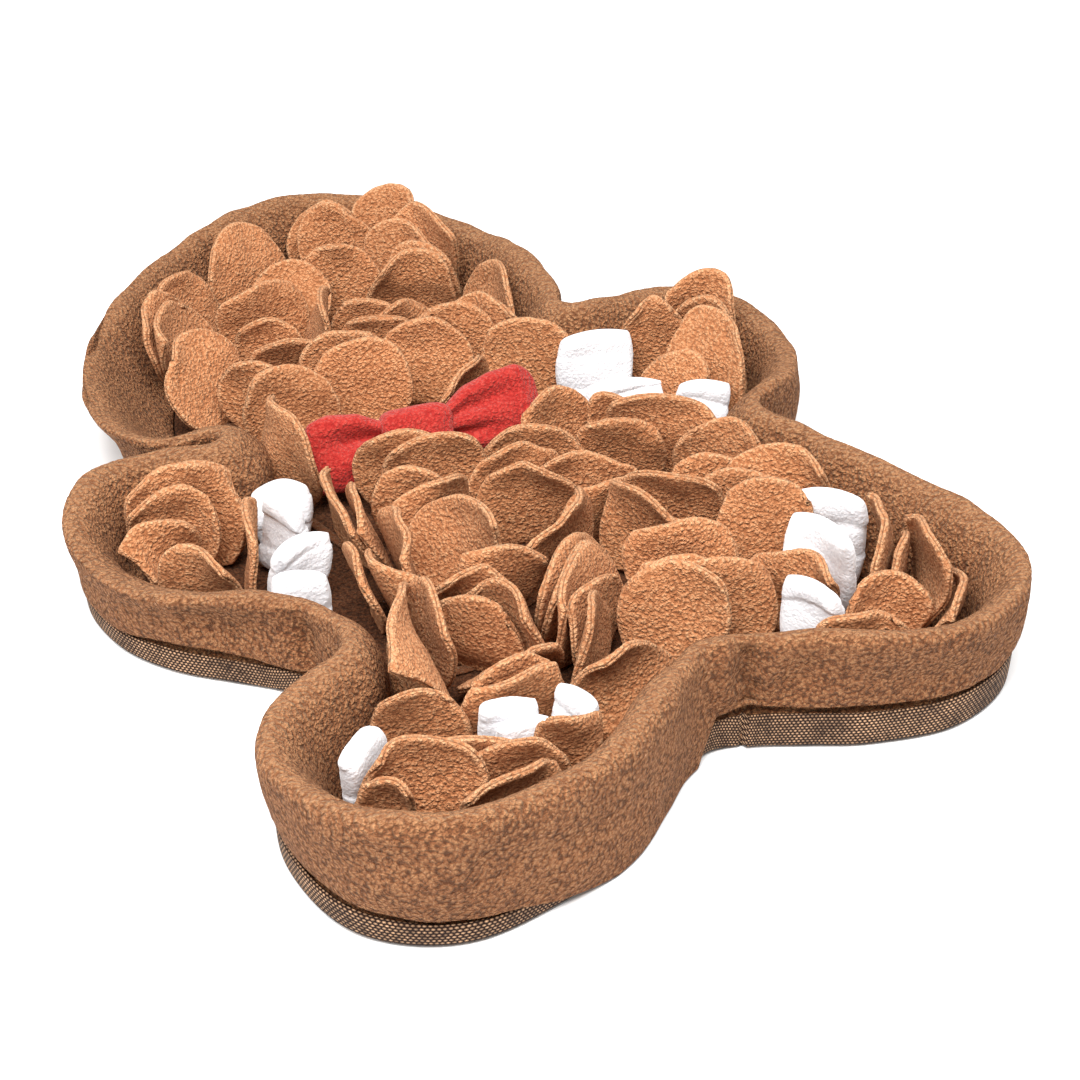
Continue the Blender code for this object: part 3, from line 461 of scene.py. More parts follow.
def surface_normals(points):
    """Unit normals of a grid of points."""
    return unit(np.cross(np.gradient(points, axis=0), np.gradient(points, axis=1)))


def wall_push(points, line, room):
    """How far each point has to move to keep clear of the wall, taken as a round-topped core."""
    normals = outward_normals(line[:, :2])
    gap = points[:, None, :2] - line[None, :, :2]
    nearest = np.argmin((gap ** 2).sum(-1), axis=1)
    normal = normals[nearest]
    height = line[nearest, HEIGHT]
    share = np.clip((points[:, 2] - LOW) / (height - LOW), 0, 1)
    outwards = (gap[np.arange(len(points)), nearest] * normal).sum(-1)
    outwards = outwards - line[nearest, LEAN] * share ** LEAN_POWER
    above = np.maximum(points[:, 2] - (height - WALL_CORE), 0)
    deep = WALL_CORE + room - np.hypot(outwards, above)
    inside = (deep > 0) & (outwards < 6)
    deep = np.where(inside, np.maximum(deep, np.where(above < 4, outwards + WALL_CORE + room, 0)), 0)
    direction = np.concatenate([-normal, (above / WALL_CORE)[:, None]], axis=1)
    return direction * np.clip(deep, 0, 8)[:, None]


def bow_push(points, room):
    """How far each point has to move to keep clear of the bow, taken as three rounded lumps."""
    total = np.zeros_like(points)
    axes = bow_axes()
    for along, rise, half in BOW_LUMPS:
        centre = np.array(BOW_AT, float) + axes[0] * along + axes[1] * rise
        local = (points - centre) @ axes.T
        size = np.linalg.norm(local / (np.array(half) + room), axis=1)
        way = unit(local * (0.2, 0.4, 1.0))
        total += (way * (np.clip((1 - size) * 12, 0, 6) * (size < 1))[:, None]) @ axes
    return total


def neighbour_push(leaves, pairs, sides, points, normals):
    """Pushes on the test points of petals that stand too close, half to either, with their weights."""
    lows, highs = [p.min(0) for p in points], [p.max(0) for p in points]
    pushes = [np.zeros_like(p) for p in points]
    weights = [np.full(len(p), 0.03) for p in points]
    for a, b in pairs:
        if (lows[a] > highs[b] + NEAR).any() or (lows[b] > highs[a] + NEAR).any():
            continue
        apart = points[a][:, None] - points[b][None]
        distance = np.einsum("ijk,ijk->ij", apart, apart)
        if distance.min() > NEAR_SQUARED:
            continue
        room = (leaves[a].thickness + leaves[b].thickness) / 2 + CLEAR - LEAF_T
        other_way = (b, a, distance.T, -apart.transpose(1, 0, 2))
        for p, q, table, far in ((a, b, distance, apart), other_way):
            near = np.argmin(table, axis=1)
            rows = np.arange(len(near))
            normal = normals[q][near]
            height = (far[rows, near] * normal).sum(-1)
            beside = np.sqrt(np.maximum(table[rows, near] - height ** 2, 0))
            touching = beside < BESIDE
            if not touching.any():
                continue
            if (p, q) not in sides:
                between = points[p].mean(0) - points[q].mean(0)
                sides[p, q] = 1.0 if (between * normals[q].mean(0)).sum() > 0 else -1.0
            side = sides[p, q]
            deep = np.where(touching, np.clip(room - side * height, 0, MOST_PUSH), 0)
            if not (deep > 0).any():
                continue
            move = normal * (side * deep * 0.5)[:, None]
            pushes[p] += move
            weights[p] = np.maximum(weights[p], deep > 0)
            np.add.at(pushes[q], near, -move)
            np.maximum.at(weights[q], near, (deep > 0).astype(float))
    return pushes, weights


def settle(leaves, line):
    """Lets the petals give way to one another, to the wall and to the bow, until all stand clear.

    In each round the test points of a petal are pushed off what is too near, and the petal takes the mix of
    its shapes that fits those pushes best in least squares, held back by the stiffness of each shape."""
    us, vs = np.meshgrid(np.linspace(-1, 1, TEST_POINTS), np.linspace(0, 1, TEST_POINTS), indexing="ij")
    fields = [leaf.shapes(us, vs).reshape(len(STIFFNESS), -1, 3) for leaf in leaves]
    start = [leaf.surface(us, vs).reshape(-1, 3).mean(0) for leaf in leaves]
    reach = [max(leaf.width, leaf.length) * 0.62 for leaf in leaves]
    pairs = [(a, b) for a in range(len(leaves)) for b in range(a + 1, len(leaves))
             if np.linalg.norm(start[a] - start[b]) < reach[a] + reach[b] + NEAR]
    above_root = vs.reshape(-1) > 0.1
    sides = {}
    for _ in range(ROUNDS):
        grids = [leaf.surface(us, vs) for leaf in leaves]
        normals = [surface_normals(g).reshape(-1, 3) for g in grids]
        points = [g.reshape(-1, 3) for g in grids]
        pushes, weights = neighbour_push(leaves, pairs, sides, points, normals)
        for n, leaf in enumerate(leaves):
            push = pushes[n] + wall_push(points[n], line, leaf.thickness / 2 + 1.6)
            push = push + bow_push(points[n], leaf.thickness / 2 + 2)
            low = np.maximum(STRIP_Z + STRIP_T + leaf.thickness / 2 + 0.8 - points[n][:, 2], 0)
            push[:, 2] += low * above_root
            weight = np.maximum(weights[n], (np.abs(push).sum(-1) > 0).astype(float))
            basis = fields[n] * np.sqrt(weight)[None, :, None]
            target = push * np.sqrt(weight)[:, None]
            normal_matrix = np.einsum("iak,jak->ij", basis, basis) + np.diag(STIFFNESS)
            answer = np.linalg.solve(normal_matrix, np.einsum("iak,ak->i", basis, target))
            leaf.moves = leaf.moves + 0.7 * answer


# ---------------------------------------------------------------- unevenness of cloth

def scramble(cells, seed):
    """Three numbers in 0..1 for each whole-number cell: the fraction of a large sine of it."""
    keys = cells @ np.array([[127.1, 269.5, 113.5], [311.7, 183.3, 271.9], [74.7, 246.1, 124.6]])
    value = np.sin(keys + seed) * 43758.5453
    return value - np.floor(value)


def nubs(points, size, seed):
    """Pebbled nap: 1 at the middle of each nub, falling to 0 half way to its neighbours.

    Each cell holds one scattered middle; the height is 1 less the distance to the nearest one."""
    place = points / size
    base = np.floor(place)
    nearest = np.full(len(points), 9.0)
    for step in np.ndindex(3, 3, 3):
        cell = base + step - 1
        gap = cell + scramble(cell, seed) - place
        nearest = np.minimum(nearest, (gap * gap).sum(1))
    return 1 - np.clip(np.sqrt(nearest), 0, 1)


def pile(points, size, height, seed):
    """How far the nap stands off each point: its nubs less their mean, times a height."""
    return (nubs(points.reshape(-1, 3), size, seed) - NUB_MEAN).reshape(points.shape[:-1]) * height


def lumps(points, size, seed):
    """Soft unevenness in -1..1: a number at each corner of a cell, blended smoothly between."""
    place = points.reshape(-1, 3) / size
    base = np.floor(place)
    part = place - base
    part = part * part * (3 - 2 * part)
    total = np.zeros(len(place))
    for corner in np.ndindex(2, 2, 2):
        total += np.abs(1 - np.array(corner) - part).prod(1) * scramble(base + corner, seed)[:, 0]
    return (total * 2 - 1).reshape(points.shape[:-1])


def soft_lumps(points, size, seed, height):
    """The same unevenness times a height."""
    return lumps(points, size, seed) * height


# ---------------------------------------------------------------- meshes

def grid_quads(rows, columns, start=0, close_rows=False, close_columns=False, flip=False):
    """Quads of a grid of points numbered row by row, open or closed either way."""
    i = np.arange(rows if close_rows else rows - 1)[:, None]
    j = np.arange(columns if close_columns else columns - 1)[None, :]
    i2, j2 = (i + 1) % rows, (j + 1) % columns
    quads = np.stack([i * columns + j, i2 * columns + j, i2 * columns + j2, i * columns + j2], axis=-1)
    quads = quads.reshape(-1, 4) + start
    return quads[:, ::-1] if flip else quads


def border(rows, columns):
    """Numbers of a grid's rim points, once round."""
    low = np.arange(rows) * columns
    right = low[-1] + np.arange(1, columns)
    high = (low + columns - 1)[::-1][1:]
    left = np.arange(columns - 2, 0, -1)
    return np.concatenate([low, right, high, left])


def bands(chain):
    """Quads between each closed ring of point numbers and the next."""
    return [np.stack([low, high, np.roll(high, -1), np.roll(low, -1)], axis=1)
            for low, high in zip(chain, chain[1:])]


def outward(points, quads):
    """The quads of a closed shell, turned round if they enclose a negative volume."""
    a, b, c, d = (points[quads[:, k]] for k in range(4))
    volume = (a * np.cross(b, c)).sum() + (a * np.cross(c, d)).sum()
    return quads if volume > 0 else quads[:, ::-1]


def tube_shell(points, along, around):
    """Closed tube from its rings, with a fan over each end round that end's middle point."""
    step = np.arange(0, around, 2)
    fan = np.stack([step, step + 1, (step + 2) % around], axis=1)
    quads = [grid_quads(along, around, close_columns=True)]
    for end, first, turn in ((0, 0, 1), (1, (along - 1) * around, -1)):
        middle = np.full((len(step), 1), along * around + end)
        quads.append(np.hstack([middle, first + fan[:, ::turn]]))
    points = np.vstack([points, points[:around].mean(0), points[-around:].mean(0)])
    return {"points": points, "quads": outward(points, np.vstack(quads))}


def cloth_piece(name, shells, material, slot):
    """One object from several closed shells, each with its points, quads, and any attributes and uv.

    Points in one place are made one. A face that loses a corner by it becomes a triangle or is left out."""
    counts = [len(shell["points"]) for shell in shells]
    starts = np.cumsum(counts) - counts
    points = np.vstack([shell["points"] for shell in shells]) * MM
    quads = np.vstack([shell["quads"] + start for shell, start in zip(shells, starts)])
    _, first, same = np.unique(np.round(points * 1e6).astype(np.int64), axis=0,
                               return_index=True, return_inverse=True)
    used = np.sort(first)
    merged = np.searchsorted(used, first[same.ravel()])[quads]
    corner = merged != np.roll(merged, 1, axis=1)
    corner[corner.sum(1) < 3] = False
    sizes = corner.sum(1)[corner.any(1)]
    mesh = bpy.data.meshes.new(name)
    mesh.vertices.add(len(used))
    mesh.vertices.foreach_set("co", points[used].ravel())
    mesh.loops.add(int(corner.sum()))
    mesh.loops.foreach_set("vertex_index", merged[corner].astype(np.int32))
    mesh.polygons.add(len(sizes))
    mesh.polygons.foreach_set("loop_start", (np.cumsum(sizes) - sizes).astype(np.int32))
    mesh.update(calc_edges=True)
    mesh.polygons.foreach_set("use_smooth", np.ones(len(sizes), dtype=bool))
    for key in ("edge", "groove", "tone"):
        values = [np.broadcast_to(shell.get(key, 0.0), (count,)) for shell, count in zip(shells, counts)]
        layer = mesh.attributes.new(key, "FLOAT", "POINT")
        layer.data.foreach_set("value", np.concatenate(values)[used].astype(np.float32))
    uv = [np.broadcast_to(shell.get("uv", (0.0, 0.0)), (count, 2)) for shell, count in zip(shells, counts)]
    layer = mesh.uv_layers.new(name="UVMap")
    layer.data.foreach_set("uv", np.vstack(uv)[quads[corner]].astype(np.float32).ravel())
    mesh.materials.append(material)
    thing = bpy.data.objects.new(name, mesh)
    bpy.context.scene.collection.objects.link(thing)
    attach(thing, "root")
    return thing


def panel_piece(name, shell, rows, columns, material, slot):
    """A ring of cloth whose open middle is filled, above and below, by one flat face each."""
    thing = cloth_piece(name, [shell], material, slot)
    edit = bmesh.new()
    edit.from_mesh(thing.data)
    edit.verts.ensure_lookup_table()
    for column in (0, columns - 1):
        edit.faces.new([edit.verts[row * columns + column] for row in range(rows)])
    bmesh.ops.recalc_face_normals(edit, faces=edit.faces)
    edit.to_mesh(thing.data)
    edit.free()
    return thing


# ---------------------------------------------------------------- petals and strips

def petal_shell(leaf, seed):
    """Fleece petal: the settled middle surface in waves, moved half its thickness to either side, with nap.

    The rim swells into two rounded edges with a groove between them, where two layers meet."""
    across, upward = PETAL_GRID
    us, vs = np.meshgrid(np.linspace(-1, 1, across + 1), np.linspace(0, 1, upward + 1), indexing="ij")
    middle = leaf.surface(us, vs)
    foot = leaf.sewn_at() + (us[:, 0] * ROOT_W / 2)[:, None] * leaf.side
    foot[:, 2] = ROOT_Z + 0.2
    beside = np.minimum((1 - np.abs(us)) * leaf.width / 2, (1 - vs) * leaf.length)
    # two more columns below carry the petal down to its sewn foot
    middle = np.concatenate([foot[:, None], (foot * 0.5 + middle[:, 0] * 0.5)[:, None], middle], axis=1)
    beside = np.pad(beside, ((0, 0), (2, 0)), constant_values=5.0)
    height = np.pad(vs, ((0, 0), (2, 0)))
    rows, columns = height.shape
    normal, unmoved = surface_normals(middle), middle
    for size, seeds, reach in PETAL_WAVES:
        waves = np.stack([lumps(unmoved, size, k) for k in seeds], axis=-1)
        middle = middle + waves * reach * (height ** 1.5)[..., None]
    middle = middle + normal * (lumps(unmoved, *PETAL_RIPPLE) * RIPPLE_HEIGHT * height)[..., None]
    normal = surface_normals(middle)
    half = PETAL_T / 2 * (0.86 + 0.14 * np.clip(beside / 3, 0, 1))
    faces = []
    for sign in (1, -1):
        face = middle + normal * (sign * half)[..., None]
        faces.append(face + normal * (sign * pile(face, *PETAL_PILE))[..., None])
    ring = border(rows, columns)
    line, out = middle.reshape(-1, 3)[ring], normal.reshape(-1, 3)[ring]
    away = unit(np.cross(np.roll(line, -1, axis=0) - np.roll(line, 1, axis=0), out))
    away *= np.sign(((line - middle.reshape(-1, 3).mean(0)) * away).sum(1).mean())
    fuzz = 0.75 + 0.5 * nubs(line, 2.2, 1.0) + 0.25 * lumps(line, 6.0, seed)
    rings = []
    for share, reach in RIM_RINGS:
        swell = reach * (np.ones(len(ring)) if share == 0 else fuzz)
        rings.append(line + out * (share * half.reshape(-1)[ring])[:, None] + away * swell[:, None])
    count, size = rows * columns, len(ring)
    points = np.vstack([face.reshape(-1, 3) for face in faces] + rings)
    chain = [ring] + [2 * count + k * size + np.arange(size) for k in range(len(rings))] + [ring + count]
    quads = [grid_quads(rows, columns), grid_quads(rows, columns, count, flip=True)] + bands(chain)
    # painted highlight: the faces near the rim and the rim rings take the lighter rim colour
    near_rim = np.clip(1 - beside / 2.6, 0, 1).reshape(-1)
    in_groove = [share == 0 for share, _ in RIM_RINGS]
    return {"points": points, "quads": outward(points, np.vstack(quads)),
            "edge": np.concatenate([near_rim, near_rim, np.ones(size * len(rings))]),
            "groove": np.concatenate([np.zeros(2 * count), np.repeat(in_groove, size)]),
            "tone": scramble(np.array([[seed, 1.0, 2.0]]), 0.0)[0, 0]}


def strip_shell(leaf, seed):
    """Folded fleece strip: a pillow on the settled middle surface, thickest in the middle.

    Half thickness is the product of two rounded profiles, one across and one along the strip. Between two
    folds the cloth rolls out as the root of a sine, and each roll slips a little to one side."""
    across, upward = STRIP_GRID
    us, ws = np.meshgrid(*(np.sin(np.linspace(-math.pi / 2, math.pi / 2, n + 1)) for n in (across, upward)),
                         indexing="ij")
    vs = (ws + 1) / 2
    middle = leaf.surface(us, vs)
    middle[..., 2] -= np.clip(1 - vs / 0.25, 0, 1) * 3.0
    normal, unmoved = surface_normals(middle), middle
    tilt, phase = scramble(np.array([[seed, 4.0, 9.0]]), 1.0)[0, :2] * (0.5, 0.4) - (0.25, 0.0)
    folds = vs * leaf.length / FOLD_PITCH + tilt * us + phase
    roll = np.abs(np.sin(folds * math.pi)) ** 0.5
    which = np.floor(folds)
    slip = scramble(np.stack([which, which * 0 + seed, which * 0], axis=-1), 2.0)[..., :2] - 0.5
    slip *= roll[..., None] ** 0.5 * FOLD_SLIP
    middle = middle + leaf.side * slip[..., :1] + normal * slip[..., 1:]
    round_off = (1 - np.abs(us) ** 7) ** 0.5 * (1 - np.abs(ws) ** 8) ** 0.5
    swell = 1 + 0.12 * lumps(unmoved, 14.0, 3.0) + 0.05 * lumps(unmoved, 5.0, 4.0)
    half = leaf.thickness * 0.68 * round_off * swell * (0.8 + 0.2 * roll)
    faces = []
    for sign in (1, -1):
        face = middle + normal * (sign * half)[..., None]
        face = face + normal * (sign * pile(face, *STRIP_PILE) * (round_off > 0))[..., None]
        faces.append(face.reshape(-1, 3))
    rows, columns = us.shape
    count, ring = rows * columns, border(rows, columns)
    quads = [grid_quads(rows, columns), grid_quads(rows, columns, count, flip=True)]
    quads += bands([ring, ring + count])
    points = np.vstack(faces)
    return {"points": points, "quads": outward(points, np.vstack(quads))}


def root_shell(start, end):
    """Sewn root strip: a rounded flat band from one petal root to the next."""
    start, end = np.array(start[:2]), np.array(end[:2])
    length = np.linalg.norm(end - start)
    along = (end - start) / length
    side = np.array([-along[1], along[0]])
    taper = np.array([0.0, 0.8, 1, 1, 1, 1, 1, 0.8, 0.0])[:, None]
    steps = np.linspace(-1.5, length + 1.5, len(taper))[:, None]
    around = 12
    wide, tall = rounded_square(np.linspace(0, 2 * math.pi, around, endpoint=False), 0.6)
    xy = (start + along * steps)[:, None] + side * (wide * STRIP_W / 2 * taper)[..., None]
    z = STRIP_Z + STRIP_T / 2 + tall * STRIP_T / 2 * taper
    points = np.concatenate([xy, z[..., None]], axis=-1).reshape(-1, 3)
    return {**tube_shell(points, len(taper), around), "groove": 1.0}


# ---------------------------------------------------------------- wall, tray and floor panel

def press_folds(points, normals):
    """Pushes the surface in along each fold: depth times a bell curve of the distance to its line."""
    line = smooth(WALL, FOLD_STEPS)
    sideways = outward_normals(line[:, :2])
    moved = np.zeros(len(points))
    for row_a, low, row_b, high, out, depth, width in FOLDS:
        share = np.linspace(0, 1, 9)
        at = np.round((row_a + (row_b - row_a) * share) * FOLD_STEPS).astype(int) % len(line)
        track = np.c_[line[at, :2] + sideways[at] * out, low + (high - low) * share]
        near = np.abs(points - track.mean(0)).max(1) < 3 * width + np.ptp(track, axis=0).max()
        gap = np.linalg.norm(points[near][:, None] - track[None], axis=2)
        taper = np.sin((0.12 + 0.76 * share[gap.argmin(1)]) * math.pi) ** 0.6
        moved[near] += depth * taper * np.exp(-(gap.min(1) / width) ** 2)
    return points - normals * moved[:, None]


def wall_corners(line):
    """Corners of the drawn section along the foot line: the solid's, with the changes the tables give."""
    corners = np.stack([wall_section(row) for row in line]) + WALL_SHAPE
    rows = np.arange(len(line)) / len(line) * len(WALL)
    thin = np.interp(rows, *zip(*THIN_ROWS), period=len(WALL))[:, None]
    corners[:, 1:5, 0] += thin * THIN_CORNERS
    hang = np.interp(rows, HANG_ROWS, (0, 1, 1, 0))[:, None, None]
    corners[:, -3:] += hang * (HANG_CORNERS - corners[:, -3:])
    return corners


def wall_shell():
    """Padded wall: the section, rounded, carried along the foot line, with folds, soft lumps and nap."""
    steps, fine = WALL_GRID
    line = smooth(WALL, steps)
    direction = outward_normals(line[:, :2])[:, None]
    curve = smooth(wall_corners(line), fine, axis=1)
    grid = np.concatenate([line[:, None, :2] + direction * curve[..., :1], curve[..., 1:]], axis=-1)
    along, round_it = (np.roll(grid, -1, axis=k) - np.roll(grid, 1, axis=k) for k in (0, 1))
    normal = unit(np.cross(along, round_it))
    away = grid - np.concatenate([line[:, :2], line[:, HEIGHT:HEIGHT + 1] / 2], axis=1)[:, None]
    normal *= np.sign((away * normal).sum())
    outer = np.clip((normal[..., :2] * direction).sum(-1) * 2 + 0.4, 0, 1).ravel()
    points, normal = grid.reshape(-1, 3), normal.reshape(-1, 3)
    free = np.clip((points[:, 2] - 3) / 6, 0, 1)
    points = press_folds(points, normal * (free * outer)[:, None])
    soft = sum(soft_lumps(points, *kind) for kind in WALL_LUMPS)
    points[:, 2] += soft_lumps(points * (1, 1, 0), *RIM_LUMPS) * np.clip(points[:, 2] / 50, 0, 1) ** 2
    points = points + normal * ((soft + pile(points, *WALL_PILE)) * free)[:, None]
    quads = grid_quads(*grid.shape[:2], close_rows=True, close_columns=True)
    # painted light: the upward-facing top is coloured lighter, as at the rims of the petals
    painted_top_light = np.clip(normal[:, 2], 0, 1) ** 0.7 * np.clip(points[:, 2] / 30 - 0.6, 0, 1) * 0.85
    return {"points": points, "quads": outward(points, quads), "edge": painted_top_light}


def base_shell():
    """Woven tray: flat underneath, its edge turned up all the way round and lapped once.

    Rings of the foot line moved outwards give the edge; two inner rings carry the flat middle."""
    line = smooth(WALL, TRAY_STEPS)
    length = np.concatenate([[0], np.cumsum(np.linalg.norm(np.diff(line[:, :2], axis=0), axis=1))])
    level = np.ones(len(line))
    to_lap = length[int(LAP_ROW * len(line) / len(WALL))] - length
    dent = np.clip(1 - np.abs(to_lap) / 1.2, 0, 1) * 1.6
    over = np.where((to_lap > 0) & (to_lap < LAP_LENGTH), LAP_RISE * (1 - to_lap / LAP_LENGTH), 0)
    ground = np.c_[line[:, :2], level * 0]
    rise = line[:, BAND] + lumps(ground, 30.0, 8.0) * 0.5
    out = BAND_OUT + over - dent + lumps(ground, 24.0, 6.0) * 0.35
    rings = [(TRAY_IN, level * 0.0), (BAND_OUT - 4, level * 0.0), (BAND_OUT - 1.2, level * 0.2),
             (out, level * 1.4)]
    for share in np.linspace(0.12, 0.9, 8):
        rings.append((out + 0.25 * np.sin(share * math.pi), 1.4 + (rise - 1.4) * share))
    rings += [(out - 0.3, rise), (out - 0.9, rise + 0.25), (out - 1.5, rise), (BAND_OUT - 1.7, rise * 0.6),
              (BAND_OUT - 1.7, level * 1.9), (BAND_OUT - 3, level * 1.7), (TRAY_IN, level * BASE_T)]
    grid = np.stack([np.c_[offset_line(line, d), z] for d, z in rings], axis=1)
    height = np.cumsum(np.linalg.norm(np.diff(grid, axis=1, prepend=grid[:, :1]), axis=-1), axis=1)
    uv = np.stack([np.broadcast_to(length[:, None], height.shape), height - 3], axis=-1) * MM
    quads = grid_quads(len(line), len(rings), close_rows=True)
    return {"points": grid.reshape(-1, 3), "quads": quads, "uv": uv.reshape(-1, 2)}, len(line), len(rings)


def floor_shell():
    """Floor panel: the foot line moved inwards, with a rounded edge; the middle stays open."""
    line = smooth(WALL, 4)
    normal = outward_normals(line[:, :2])
    level = np.ones(len(line))
    grid = np.stack([np.c_[line[:, :2] - normal * (FLOOR_IN + d), level * (FLOOR_Z + FLOOR_T * share)]
                     for d, share in FLOOR_EDGE], axis=1)
    quads = grid_quads(len(line), len(FLOOR_EDGE), close_rows=True)
    return {"points": grid.reshape(-1, 3), "quads": quads}, len(line), len(FLOOR_EDGE)


# ---------------------------------------------------------------- bow

def bow_part(place, rise, up, out, nubs_of, lumps_of):
    """Closed tube round the bow's length, from how far its rings go up and out of its face, with nap."""
    axes, centre = bow_axes(), np.array(BOW_AT, float)
    middle = centre + axes[0] * place[..., None] + axes[1] * rise[..., None]
    points = middle + axes[1] * up[..., None] + axes[2] * out[..., None]
    moved = pile(points, *nubs_of) + soft_lumps(points, *lumps_of)
    points = points + unit(points - middle) * moved[..., None]
    return tube_shell(points.reshape(-1, 3), *up.shape)


def bow_loop(first, last, folds):
    """Loop of the bow: a pinched, fanned tube with folds.

    A section is an oval whose edge is drawn in by folds that start at the knot and fade outwards."""
    around, along = LOOP_GRID
    theta = np.linspace(0, 2 * math.pi, around, endpoint=False)
    t = np.linspace(0, 1, along)[:, None]
    place = first + (last - first) * (1 - (1 - t) ** 1.5)
    table = np.array(BOW, float)
    rise, tall, thick = (np.interp(place, table[:, 0], table[:, k]) for k in (1, 2, 3))
    close = np.sqrt(np.clip(1 - t ** 8, 0, 1)) * np.where(t > 0.97, 0.9, 1.0)
    wave = np.zeros((along, around))
    for angle, depth, width, deepest, fade in folds:
        gap = (theta - math.radians(angle) + math.pi) % (2 * math.pi) - math.pi
        spread = math.radians(width) * (0.6 + t)
        wave += depth * np.exp(-((t - deepest) / fade) ** 2) * np.exp(-(gap / spread) ** 2)
    c, s = rounded_square(theta, 0.85)
    up, out = tall * close * s * (1 - 0.3 * wave), thick * close * c * (1 - wave)
    return bow_part(place, rise, up, out, LOOP_PILE, LOOP_LUMPS)


def knot_shell():
    """Knot: a band wrapped round the pinched middle, wider in front, with softly rolled edges."""
    around, along = KNOT_GRID
    theta = np.linspace(0, 2 * math.pi, around, endpoint=False)
    share = np.linspace(-1, 1, along)[:, None]
    swell = 0.55 + 0.45 * (1 - np.abs(share) ** 5) ** 0.5
    place = share * KNOT[0] * (1 + 0.06 * np.sin(theta * 2))
    c, s = rounded_square(theta, 0.7)
    return bow_part(place, place * 0, KNOT[1] * swell * s, KNOT[2] * swell * c, KNOT_PILE, KNOT_LUMPS)


# ---------------------------------------------------------------- finishes

class Finish:
    """A material made of nodes; add() makes a node and fills or links its sockets."""

    def __init__(self, name):
        self.material = bpy.data.materials.new(name)
        self.material.use_nodes = True
        self.tree = self.material.node_tree
        self.shader = self.tree.nodes["Principled BSDF"]

    def fill(self, socket, value):
        """Links another node's socket, or sets a number, a vector or a colour."""
        if isinstance(value, bpy.types.NodeSocket):
            self.tree.links.new(value, socket)
        elif socket.type == "RGBA":
            socket.default_value = (*value, 1.0)
        else:
            socket.default_value = value

    def add(self, kind, settings=None, **sockets):
        """A new node; sockets are named with _ for a space, or i0, i1 ... by their number."""
        made = self.tree.nodes.new("ShaderNode" + kind)
        for key, value in (settings or {}).items():
            setattr(made, key, value)
        for key, value in sockets.items():
            self.fill(made.inputs[int(key[1:]) if key[1:].isdigit() else key.replace("_", " ")], value)
        return made

    def maths(self, operation, a, b=0.0, clamp=False):
        return self.add("Math", {"operation": operation, "use_clamp": clamp}, i0=a, i1=b).outputs[0]

    def scaled(self, value, factor, plus=0.0, clamp=False):
        """value * factor + plus"""
        settings = {"operation": "MULTIPLY_ADD", "use_clamp": clamp}
        return self.add("Math", settings, i0=value, i1=factor, i2=plus).outputs[0]

    def noise(self, place, scale, detail=2.0, roughness=0.5, output="Fac"):
        made = self.add("TexNoise", Vector=place, Scale=scale, Detail=detail, Roughness=roughness)
        return made.outputs[output]

    def attribute(self, name):
        return self.add("Attribute", {"attribute_name": name}).outputs["Fac"]

    def ramp(self, value, stops):
        made = self.add("ValToRGB", Fac=value)
        band = made.color_ramp
        while len(band.elements) < len(stops):
            band.elements.new(0.5)
        for element, (place, colour) in zip(band.elements, stops):
            element.position, element.color = place, (*colour, 1.0)
        return made.outputs["Color"]

    def blend(self, share, a, b, mode="MIX"):
        return self.add("Mix", {"data_type": "RGBA", "blend_type": mode}, i0=share, i6=a, i7=b).outputs[2]

    def surface(self, colour, height, relief, roughness=0.95, sheen=0.0, sheen_tint=(1, 1, 1)):
        """The whole finish: colour, a bump from height times relief, and the soft edge light of pile."""
        bump = self.add("Bump", Strength=1.0, Distance=relief, Height=height).outputs[0]
        values = {"Base Color": colour, "Roughness": roughness, "Specular IOR Level": 0.15, "Normal": bump,
                  "Sheen Weight": sheen, "Sheen Roughness": 0.45, "Sheen Tint": sheen_tint}
        for key, value in values.items():
            self.fill(self.shader.inputs[key], value)
        return self.material


def fleece(name, pits, face, tips, nub=0.0016, relief=0.0030, sheen=0.2, sheen_tint=(1, 1, 1),
           rim=None, seam=None):
    """Pebbled fleece: stirred nubs and curls with shade painted in the gaps, fine fibres over them, drifts
    of tone.

    Height is a weighted sum of cells moved by a noise, a noise of the nubs' size and a fibre noise. Colour
    follows it from the pits (painted shade) to the tips (painted light), goes over to the rim's (a painted
    highlight) on petal edges and the wall's top, and to the seam's in grooves."""
    f = Finish(name)
    place = f.add("TexCoord").outputs["Object"]
    stir = f.noise(place, 600.0, output="Color")
    stirred = f.add("VectorMath", {"operation": "MULTIPLY_ADD"}, i0=stir, i1=(STIR, STIR, STIR), i2=place)
    cells = f.add("TexVoronoi", Vector=stirred.outputs[0], Scale=1 / nub).outputs["Distance"]
    nubby = f.scaled(cells, -1.1, 1.0, clamp=True)
    curl = f.scaled(f.noise(place, 0.9 / nub), 2.0, -0.5, clamp=True)
    fibre = f.noise(place, 1500.0, detail=3.0, roughness=0.65)
    height = f.scaled(fibre, NAP["fibres"], f.scaled(curl, NAP["curls"], f.scaled(nubby, NAP["nubs"])))
    shade = f.maths("SUBTRACT", height, (CLUMP_TONE + DRIFT_TONE) / 2)
    shade = f.scaled(f.noise(place, 190.0), CLUMP_TONE, shade)
    shade = f.scaled(f.noise(place, 38.0), DRIFT_TONE, shade)
    # painted shade in the gaps between nubs (pits colour) and painted light on their tops (tips colour)
    colour = f.ramp(shade, ((0.34, pits), (0.54, face), (0.78, tips)))
    tone = f.scaled(f.attribute("tone"), 0.24, 0.88)
    colour = f.blend(1.0, colour, f.add("CombineXYZ", X=tone, Y=tone, Z=tone).outputs[0], "MULTIPLY")
    if rim:
        # painted highlight: where the edge attribute is set, colour goes over to the lighter rim colour
        edge = f.scaled(f.maths("POWER", f.attribute("edge"), 2.0), 0.75)
        colour = f.blend(edge, colour, f.ramp(shade, ((0.36, face), (0.78, rim))))
        groove = f.scaled(f.maths("POWER", f.attribute("groove"), 2.0), 0.85)
        colour = f.blend(groove, colour, seam)
    return f.surface(colour, height, relief, sheen=sheen, sheen_tint=sheen_tint)


